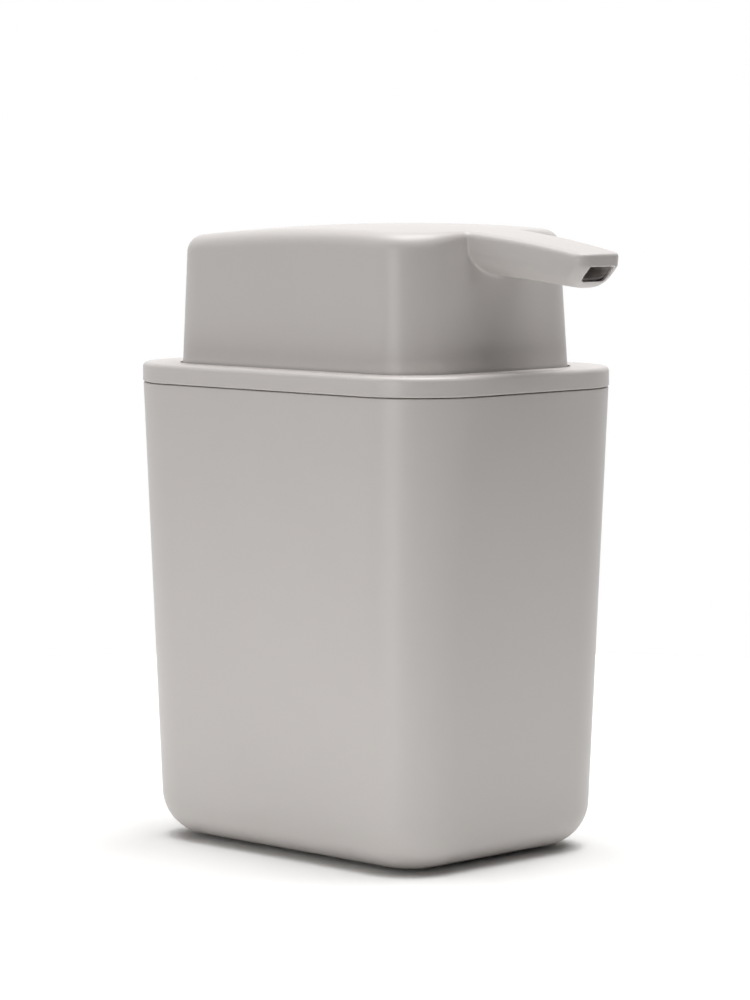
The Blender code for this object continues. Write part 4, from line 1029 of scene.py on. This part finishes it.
def stem_tube():
    """Hollow stem with a shoulder that stops it under the guide."""
    counterbore = ROD_RADIUS + SLIDE_GAP
    shoulder_top = STEM_FOOT + SHOULDER_THICKNESS
    rod_stop = ROD_TOP + SEAT_GAP
    outline = [(counterbore, STEM_FOOT), (SHOULDER_RADIUS, STEM_FOOT), (SHOULDER_RADIUS, shoulder_top)]
    outline += [(STEM_RADIUS, shoulder_top), (STEM_RADIUS, STEM_TOP), (STEM_BORE, STEM_TOP)]
    return turned("stem_tube", outline + [(STEM_BORE, rod_stop), (counterbore, rod_stop)])


def plunger_rod():
    """Hollow rod with a closed foot, a flange for the spring and a cross port."""
    flange_foot = ROD_FOOT + ROD_PILOT_LENGTH
    flange_top = flange_foot + ROD_FLANGE_THICKNESS
    port = flange_top + PORT_RISE
    bore_foot = port - 2 * PORT_RADIUS
    pilot = [(0, ROD_FOOT), (ROD_PILOT_RADIUS, ROD_FOOT), (ROD_PILOT_RADIUS, flange_foot)]
    flange = [(ROD_FLANGE_RADIUS, flange_foot), (ROD_FLANGE_RADIUS, flange_top), (ROD_RADIUS, flange_top)]
    tube = [(ROD_RADIUS, ROD_TOP), (ROD_BORE, ROD_TOP), (ROD_BORE, bore_foot), (0, bore_foot)]
    rod = turned("plunger_rod", pilot + flange + tube)
    mouths = []
    for x in (-ROD_RADIUS - OVERRUN, ROD_RADIUS + OVERRUN):
        mouths.append([Vector((x, p.x, port + p.y)) for p in circle(PORT_RADIUS, 0, PORT_STEPS)])
    carve(rod, loft("cross_port", mouths))
    return baked(rod)


def sliding_piston():
    """Sleeve with an upper and a lower lip against the barrel."""
    bore, waist, lip = ROD_RADIUS + SLIDE_GAP, PISTON_WAIST, PISTON_RADIUS
    half = [(bore, 0), (waist, 0), (waist, PISTON_LIP), (lip - PISTON_LIP, 0), (lip, 0)]
    half += [(lip, PISTON_LIP), (waist, 3 * PISTON_LIP)]
    lower = [(radius, PISTON_FOOT + rise) for radius, rise in half]
    return turned("sliding_piston", lower + [(radius, PISTON_TOP - drop) for radius, drop in half[::-1]])


def wound_spring():
    """One wound wire with close end turns. Geometry Nodes lay its path and sweep the wire."""
    rise = SPRING_TOP - SPRING_FOOT - SPRING_WIRE
    values = {
        "Turns": float(SPRING_TURNS),
        "Mean radius": SPRING_MEAN_RADIUS,
        "Rise": rise,
        "Foot": SPRING_FOOT + SPRING_WIRE / 2,
        "Wire radius": SPRING_WIRE / 2,
        "End shift": -SPRING_CLOSING / math.tau * rise,
    }
    spring = finish_mesh(bmesh.new(), "wound_spring")
    join_detail(spring, "spring_path", values, SPRING_STEEL, spring_path)
    spring.data.shade_smooth()
    spring.data.set_sharp_from_angle(angle=WIRE_SHARP_TURN)
    return spring


def spring_path(tree, given):
    """Nodes for a spiral whose ends are wound closer, swept with a round wire."""
    size = {"Resolution": SPRING_TURN_POINTS, "Rotations": given["Turns"], "Height": given["Rise"]}
    radii = {"Start Radius": given["Mean radius"], "End Radius": given["Mean radius"]}
    spiral = add_node(tree, "GeometryNodeCurveSpiral", size | radii)
    along = add_node(tree, "GeometryNodeSplineParameter")
    turn = add_node(tree, "ShaderNodeMath", {0: along, 1: math.tau}, operation="MULTIPLY")
    wave = add_node(tree, "ShaderNodeMath", {0: turn}, operation="SINE")
    shifted = {0: wave, 1: given["End shift"], 2: given["Foot"]}
    height = add_node(tree, "ShaderNodeMath", shifted, operation="MULTIPLY_ADD")
    shift = add_node(tree, "ShaderNodeCombineXYZ", {"Z": height})
    path = add_node(tree, "GeometryNodeSetPosition", {"Geometry": spiral, "Offset": shift})
    round_wire = {"Resolution": SPRING_WIRE_STEPS, "Radius": given["Wire radius"]}
    section = add_node(tree, "GeometryNodeCurvePrimitiveCircle", round_wire)
    swept = {"Curve": path, "Profile Curve": section, "Fill Caps": True}
    return add_node(tree, "GeometryNodeCurveToMesh", swept)


def valve_ball():
    """The inlet valve's ball."""
    bm = bmesh.new()
    bmesh.ops.create_uvsphere(bm, u_segments=2 * BALL_STEPS, v_segments=BALL_STEPS, radius=BALL_RADIUS)
    bmesh.ops.translate(bm, verts=bm.verts[:], vec=(0, 0, BALL_TOP - BALL_RADIUS))
    return finish_mesh(bm, "valve_ball")


def suction_tube():
    """Straight tube with a slanted foot, so that it can't seal itself on the floor."""
    top = [circle(radius, TUBE_TOP) for radius in (TUBE_RADIUS, TUBE_BORE)]
    foot = [circle(radius, TUBE_FOOT) for radius in (TUBE_BORE, TUBE_RADIUS)]
    for point in foot[0] + foot[1]:
        point.z += math.tan(TUBE_SLANT) * (point.y + TUBE_RADIUS)
    return loft("suction_tube", softened(top + foot, TUBE_EDGE), closed=True)


# Materials

DRIFT_SIZE = 38.0 * MM  # of the faint clouds of colour in a moulding
GLOSS_SIZE = 11.0 * MM  # of its duller and shinier patches
GLOSS_SPREAD = 0.07  # share of the roughness by which they differ
NOISE_SPAN = (0.3, 0.7)  # where nearly all of a noise pattern's values lie
CONVEX_SPAN = (0.51, 0.6)  # pointiness from which hands polish an edge, and where they do so fully
EDGE_POLISH = 0.8  # share of the roughness that is left on a handled edge
DRAWN_STRETCH = (1.0, 1.0, 0.1)  # draws the steel's pattern out along Z
DRAWN_GLOSS = (0.7, 1.4)  # shares of the roughness between which the drawn lines vary
DRAWN_DEPTH = 0.01 * MM
DRAWN_STRENGTH = 0.4


def linear(hex_colour):
    """Linear RGBA of an sRGB colour such as C6C2BE."""
    values = [int(hex_colour[k : k + 2], 16) / 255 for k in (0, 2, 4)]
    return [v / 12.92 if v <= 0.04045 else ((v + 0.055) / 1.055) ** 2.4 for v in values] + [1]


def plain_material(name, **values):
    """A material with values on its shader's own sockets. Returns it and the shader as well."""
    material = bpy.data.materials.new(name)
    material.use_nodes = True
    shader = material.node_tree.nodes["Principled BSDF"]
    for label, value in values.items():
        shader.inputs[label.replace("_", " ")].default_value = value
    return material, shader


def spread(value, span, ends):
    """Inputs of a node that spreads a value's span out between two ends."""
    start, stop = span
    return {"Value": value, "From Min": start, "From Max": stop, "To Min": ends[0], "To Max": ends[1]}


def polymer(name, light, dark, roughness, grain, depth, **values):
    """A moulded polymer: faint colour drift, uneven gloss, the mould's grain and handled edges.

    Light and dark are the ends of the drift. Grain is the spacing of the mould's grain and
    depth its height. Hands polish the edges, which the mesh's convex points find.
    """
    material, shader = plain_material(name, **values)
    tree = material.node_tree
    place = add_node(tree, "ShaderNodeTexCoord").outputs["Object"]
    clouds = []
    for size, detail, fade in ((DRIFT_SIZE, 3.0, 0.5), (GLOSS_SIZE, 4.0, 0.6), (grain, 2.0, 0.55)):
        pattern = {"Vector": place, "Scale": 1 / size, "Detail": detail, "Roughness": fade}
        clouds.append(add_node(tree, "ShaderNodeTexNoise", pattern))
    drift, gloss, pits = clouds
    shades = {0: drift, "A": linear(dark), "B": linear(light)}
    colour = add_node(tree, "ShaderNodeMix", shades, data_type="RGBA")
    ends = (roughness * (1 - GLOSS_SPREAD), roughness * (1 + GLOSS_SPREAD))
    uneven = add_node(tree, "ShaderNodeMapRange", spread(gloss, NOISE_SPAN, ends))
    bend = add_node(tree, "ShaderNodeNewGeometry").outputs["Pointiness"]
    handled = add_node(tree, "ShaderNodeMapRange", spread(bend, CONVEX_SPAN, (1.0, EDGE_POLISH)))
    worn = add_node(tree, "ShaderNodeMath", {0: uneven, 1: handled}, operation="MULTIPLY")
    relief = add_node(tree, "ShaderNodeBump", {"Strength": 1.0, "Distance": depth, "Height": pits})
    tree.links.new(colour.outputs["Result"], shader.inputs["Base Color"])
    tree.links.new(worn.outputs["Value"], shader.inputs["Roughness"])
    tree.links.new(relief.outputs["Normal"], shader.inputs["Normal"])
    return material


def steel(name, hex_colour, roughness, spacing):
    """Bright stainless steel with fine drawing lines round or along the piece."""
    material, shader = plain_material(name, Base_Color=linear(hex_colour), Metallic=1.0)
    tree = material.node_tree
    place = add_node(tree, "ShaderNodeTexCoord").outputs["Object"]
    stretched = add_node(tree, "ShaderNodeMapping", {"Vector": place, "Scale": DRAWN_STRETCH})
    pattern = {"Vector": stretched, "Scale": 1 / spacing, "Detail": 3.0}
    lines = add_node(tree, "ShaderNodeTexNoise", pattern)
    ends = [roughness * share for share in DRAWN_GLOSS]
    uneven = add_node(tree, "ShaderNodeMapRange", spread(lines, (0.0, 1.0), ends))
    scratches = {"Strength": DRAWN_STRENGTH, "Distance": DRAWN_DEPTH, "Height": lines}
    relief = add_node(tree, "ShaderNodeBump", scratches)
    tree.links.new(uneven.outputs["Result"], shader.inputs["Roughness"])
    tree.links.new(relief.outputs["Normal"], shader.inputs["Normal"])
    return material


# ABS from a finely spark-eroded mould: a soft satin sheen on warm light grey
GREY_ABS = polymer("satin_moulded_abs", "C9C4C1", "C4BFBC", 0.4, 0.35 * MM, 0.004 * MM, IOR=1.54)
# Thermoplastic elastomer from a blasted mould: dull, with a dry grip
PAD_ELASTOMER = polymer("blasted_elastomer", "74716E", "6A6764", 0.82, 0.3 * MM, 0.02 * MM, IOR=1.5)
# Cast silicone: milky and see-through at thin places, with a soft sheen
CLEAR = {"IOR": 1.41, "Transmission_Weight": 0.35}
SILICONE = polymer("cast_silicone", "DEDDD9", "D6D5D1", 0.42, 0.5 * MM, 0.004 * MM, **CLEAR)
# Polypropylene, injection moulded: white with a waxy sheen
WAXY = {"IOR": 1.49, "Subsurface_Weight": 0.15, "Subsurface_Scale": 1 * MM}
WHITE_PP = polymer("moulded_polypropylene", "F0F0ED", "EAEAE7", 0.36, 0.6 * MM, 0.003 * MM, **WAXY)
# Unpigmented polyethylene, injection moulded or extruded: milky, so what is inside shows dimly
MILKY = {"IOR": 1.51, "Transmission_Weight": 0.4}
NATURAL_PE = polymer("natural_polyethylene", "E6E8E6", "DFE1DF", 0.34, 0.7 * MM, 0.004 * MM, **MILKY)
# Stainless spring wire as drawn: bright, with fine lines along it
SPRING_STEEL = steel("drawn_stainless_wire", "C2C4C6", 0.22, 0.05 * MM)
# Stainless ball as ground and tumbled: a mirror with a trace of haze
BALL_STEEL = steel("tumbled_stainless_ball", "CCCECF", 0.1, 0.3 * MM)


# Studio

CAMERA_AZIMUTH = math.radians(-45.374)
CAMERA_ELEVATION = math.radians(5.278)
CAMERA_DISTANCE = 811 * MM
AIM_OFFSET = 0.26 * MM
AIM_HEIGHT = 70.463 * MM
SENSOR = 36.0
FOCAL_SHARE = 3.959  # focal length over the picture's long side
FLOOR_RADIUS = 300 * MM
LAMPS = (  # azimuth to the camera's right and elevation in degrees, spread, strength
    ("overhead_softbox", 0, 89, 60, 1.84),
    ("overhead_key", 0, 89, 25, 0.96),
    ("back_right_softbox", 120, 65, 35, 1.02),
    ("back_left_softbox", -120, 65, 35, 0.4),
    ("left_softbox", -75, 20, 50, 0.27),
    ("left_strip", -35, 2, 20, 0.6),
)


def direction(azimuth, elevation):
    """Unit vector towards a place that is seen from the dispenser at these angles."""
    across = math.cos(elevation)
    return Vector((math.sin(azimuth) * across, -math.cos(azimuth) * across, math.sin(elevation)))


def add_camera():
    """The photograph's viewpoint."""
    data = bpy.data.cameras.new("camera")
    data.sensor_width = SENSOR
    data.lens = FOCAL_SHARE * SENSOR
    camera = placed("camera", data)
    back = direction(CAMERA_AZIMUTH, CAMERA_ELEVATION)
    aim = Vector((AIM_OFFSET * math.cos(CAMERA_AZIMUTH), AIM_OFFSET * math.sin(CAMERA_AZIMUTH), AIM_HEIGHT))
    camera.location = aim + CAMERA_DISTANCE * back
    camera.rotation_euler = back.to_track_quat("Z", "Y").to_euler()
    bpy.context.scene.camera = camera


def add_lamp(name, azimuth, elevation, spread, strength):
    """A broad, distant lamp, seen from the dispenser at an azimuth from the camera's."""
    data = bpy.data.lights.new(name, "SUN")
    data.angle = math.radians(spread)
    data.energy = strength
    towards = direction(CAMERA_AZIMUTH + math.radians(azimuth), math.radians(elevation))
    placed(name, data).rotation_euler = towards.to_track_quat("Z", "Y").to_euler()


def add_studio():
    """White floor, white surround and broad soft lamps."""
    bm = bmesh.new()
    bm.faces.new([bm.verts.new(point) for point in circle(FLOOR_RADIUS, 0)])
    floor = finish_mesh(bm, "floor")
    paper = {"Base_Color": linear("FAFAF9"), "Roughness": 0.9, "Specular_IOR_Level": 0.1}
    floor.data.materials.append(plain_material("white_paper", **paper)[0])
    world = bpy.data.worlds.new("surround")
    bpy.context.scene.world = world
    world.use_nodes = True
    tree = world.node_tree
    tree.nodes.clear()
    rays = add_node(tree, "ShaderNodeLightPath").outputs
    mirrors = {0: rays["Is Glossy Ray"], 1: rays["Is Transmission Ray"]}
    mirrored = add_node(tree, "ShaderNodeMath", mirrors, operation="MAXIMUM")
    views = {0: rays["Is Camera Ray"], 1: mirrored}
    seen = add_node(tree, "ShaderNodeMath", views, operation="MAXIMUM")
    backdrop = add_node(tree, "ShaderNodeBackground", {"Color": (1, 1, 1, 1), "Strength": seen})
    add_node(tree, "ShaderNodeOutputWorld", {"Surface": backdrop})
    for lamp in LAMPS:
        add_lamp(*lamp)
    bpy.context.scene.view_settings.view_transform = "Standard"


def fit(piece, body, material, node):
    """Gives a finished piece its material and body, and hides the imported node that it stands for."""
    piece.data.materials.clear()
    piece.data.materials.append(material)
    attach(piece, body)
    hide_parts(node)
    return piece


def build():
    """Makes every finished piece and sets it on its body."""
    fit(container_shell(), "container", GREY_ABS, "container")
    fit(foot_pad(), "container", PAD_ELASTOMER, "base_pad")
    fit(lid_moulding(), "lid", GREY_ABS, "lid_collar")
    fit(seal_ring(), "lid", SILICONE, "lid_seal")
    fit(closure_nut(), "lid", WHITE_PP, "pump_nut")
    fit(sealing_gasket(), "lid", SILICONE, "pump_gasket")
    fit(pump_barrel(), "lid", NATURAL_PE, "pump_cylinder")
    fit(guide_cap(), "lid", WHITE_PP, "stem_guide")
    fit(suction_tube(), "lid", NATURAL_PE, "dip_tube")
    spring = fit(wound_spring(), "lid", SPRING_STEEL, "return_spring")
    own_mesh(spring)
    fit(valve_ball(), "inlet_valve", BALL_STEEL, "inlet_ball")
    fit(press_head(), "head", GREY_ABS, "head_shell")
    fit(soap_duct(), "head", GREY_ABS, "spout_duct")
    fit(stem_tube(), "head", WHITE_PP, "pump_stem")
    fit(plunger_rod(), "head", WHITE_PP, "piston_rod")
    fit(sliding_piston(), "piston", NATURAL_PE, "piston_seal")


build()
add_studio()
add_camera()
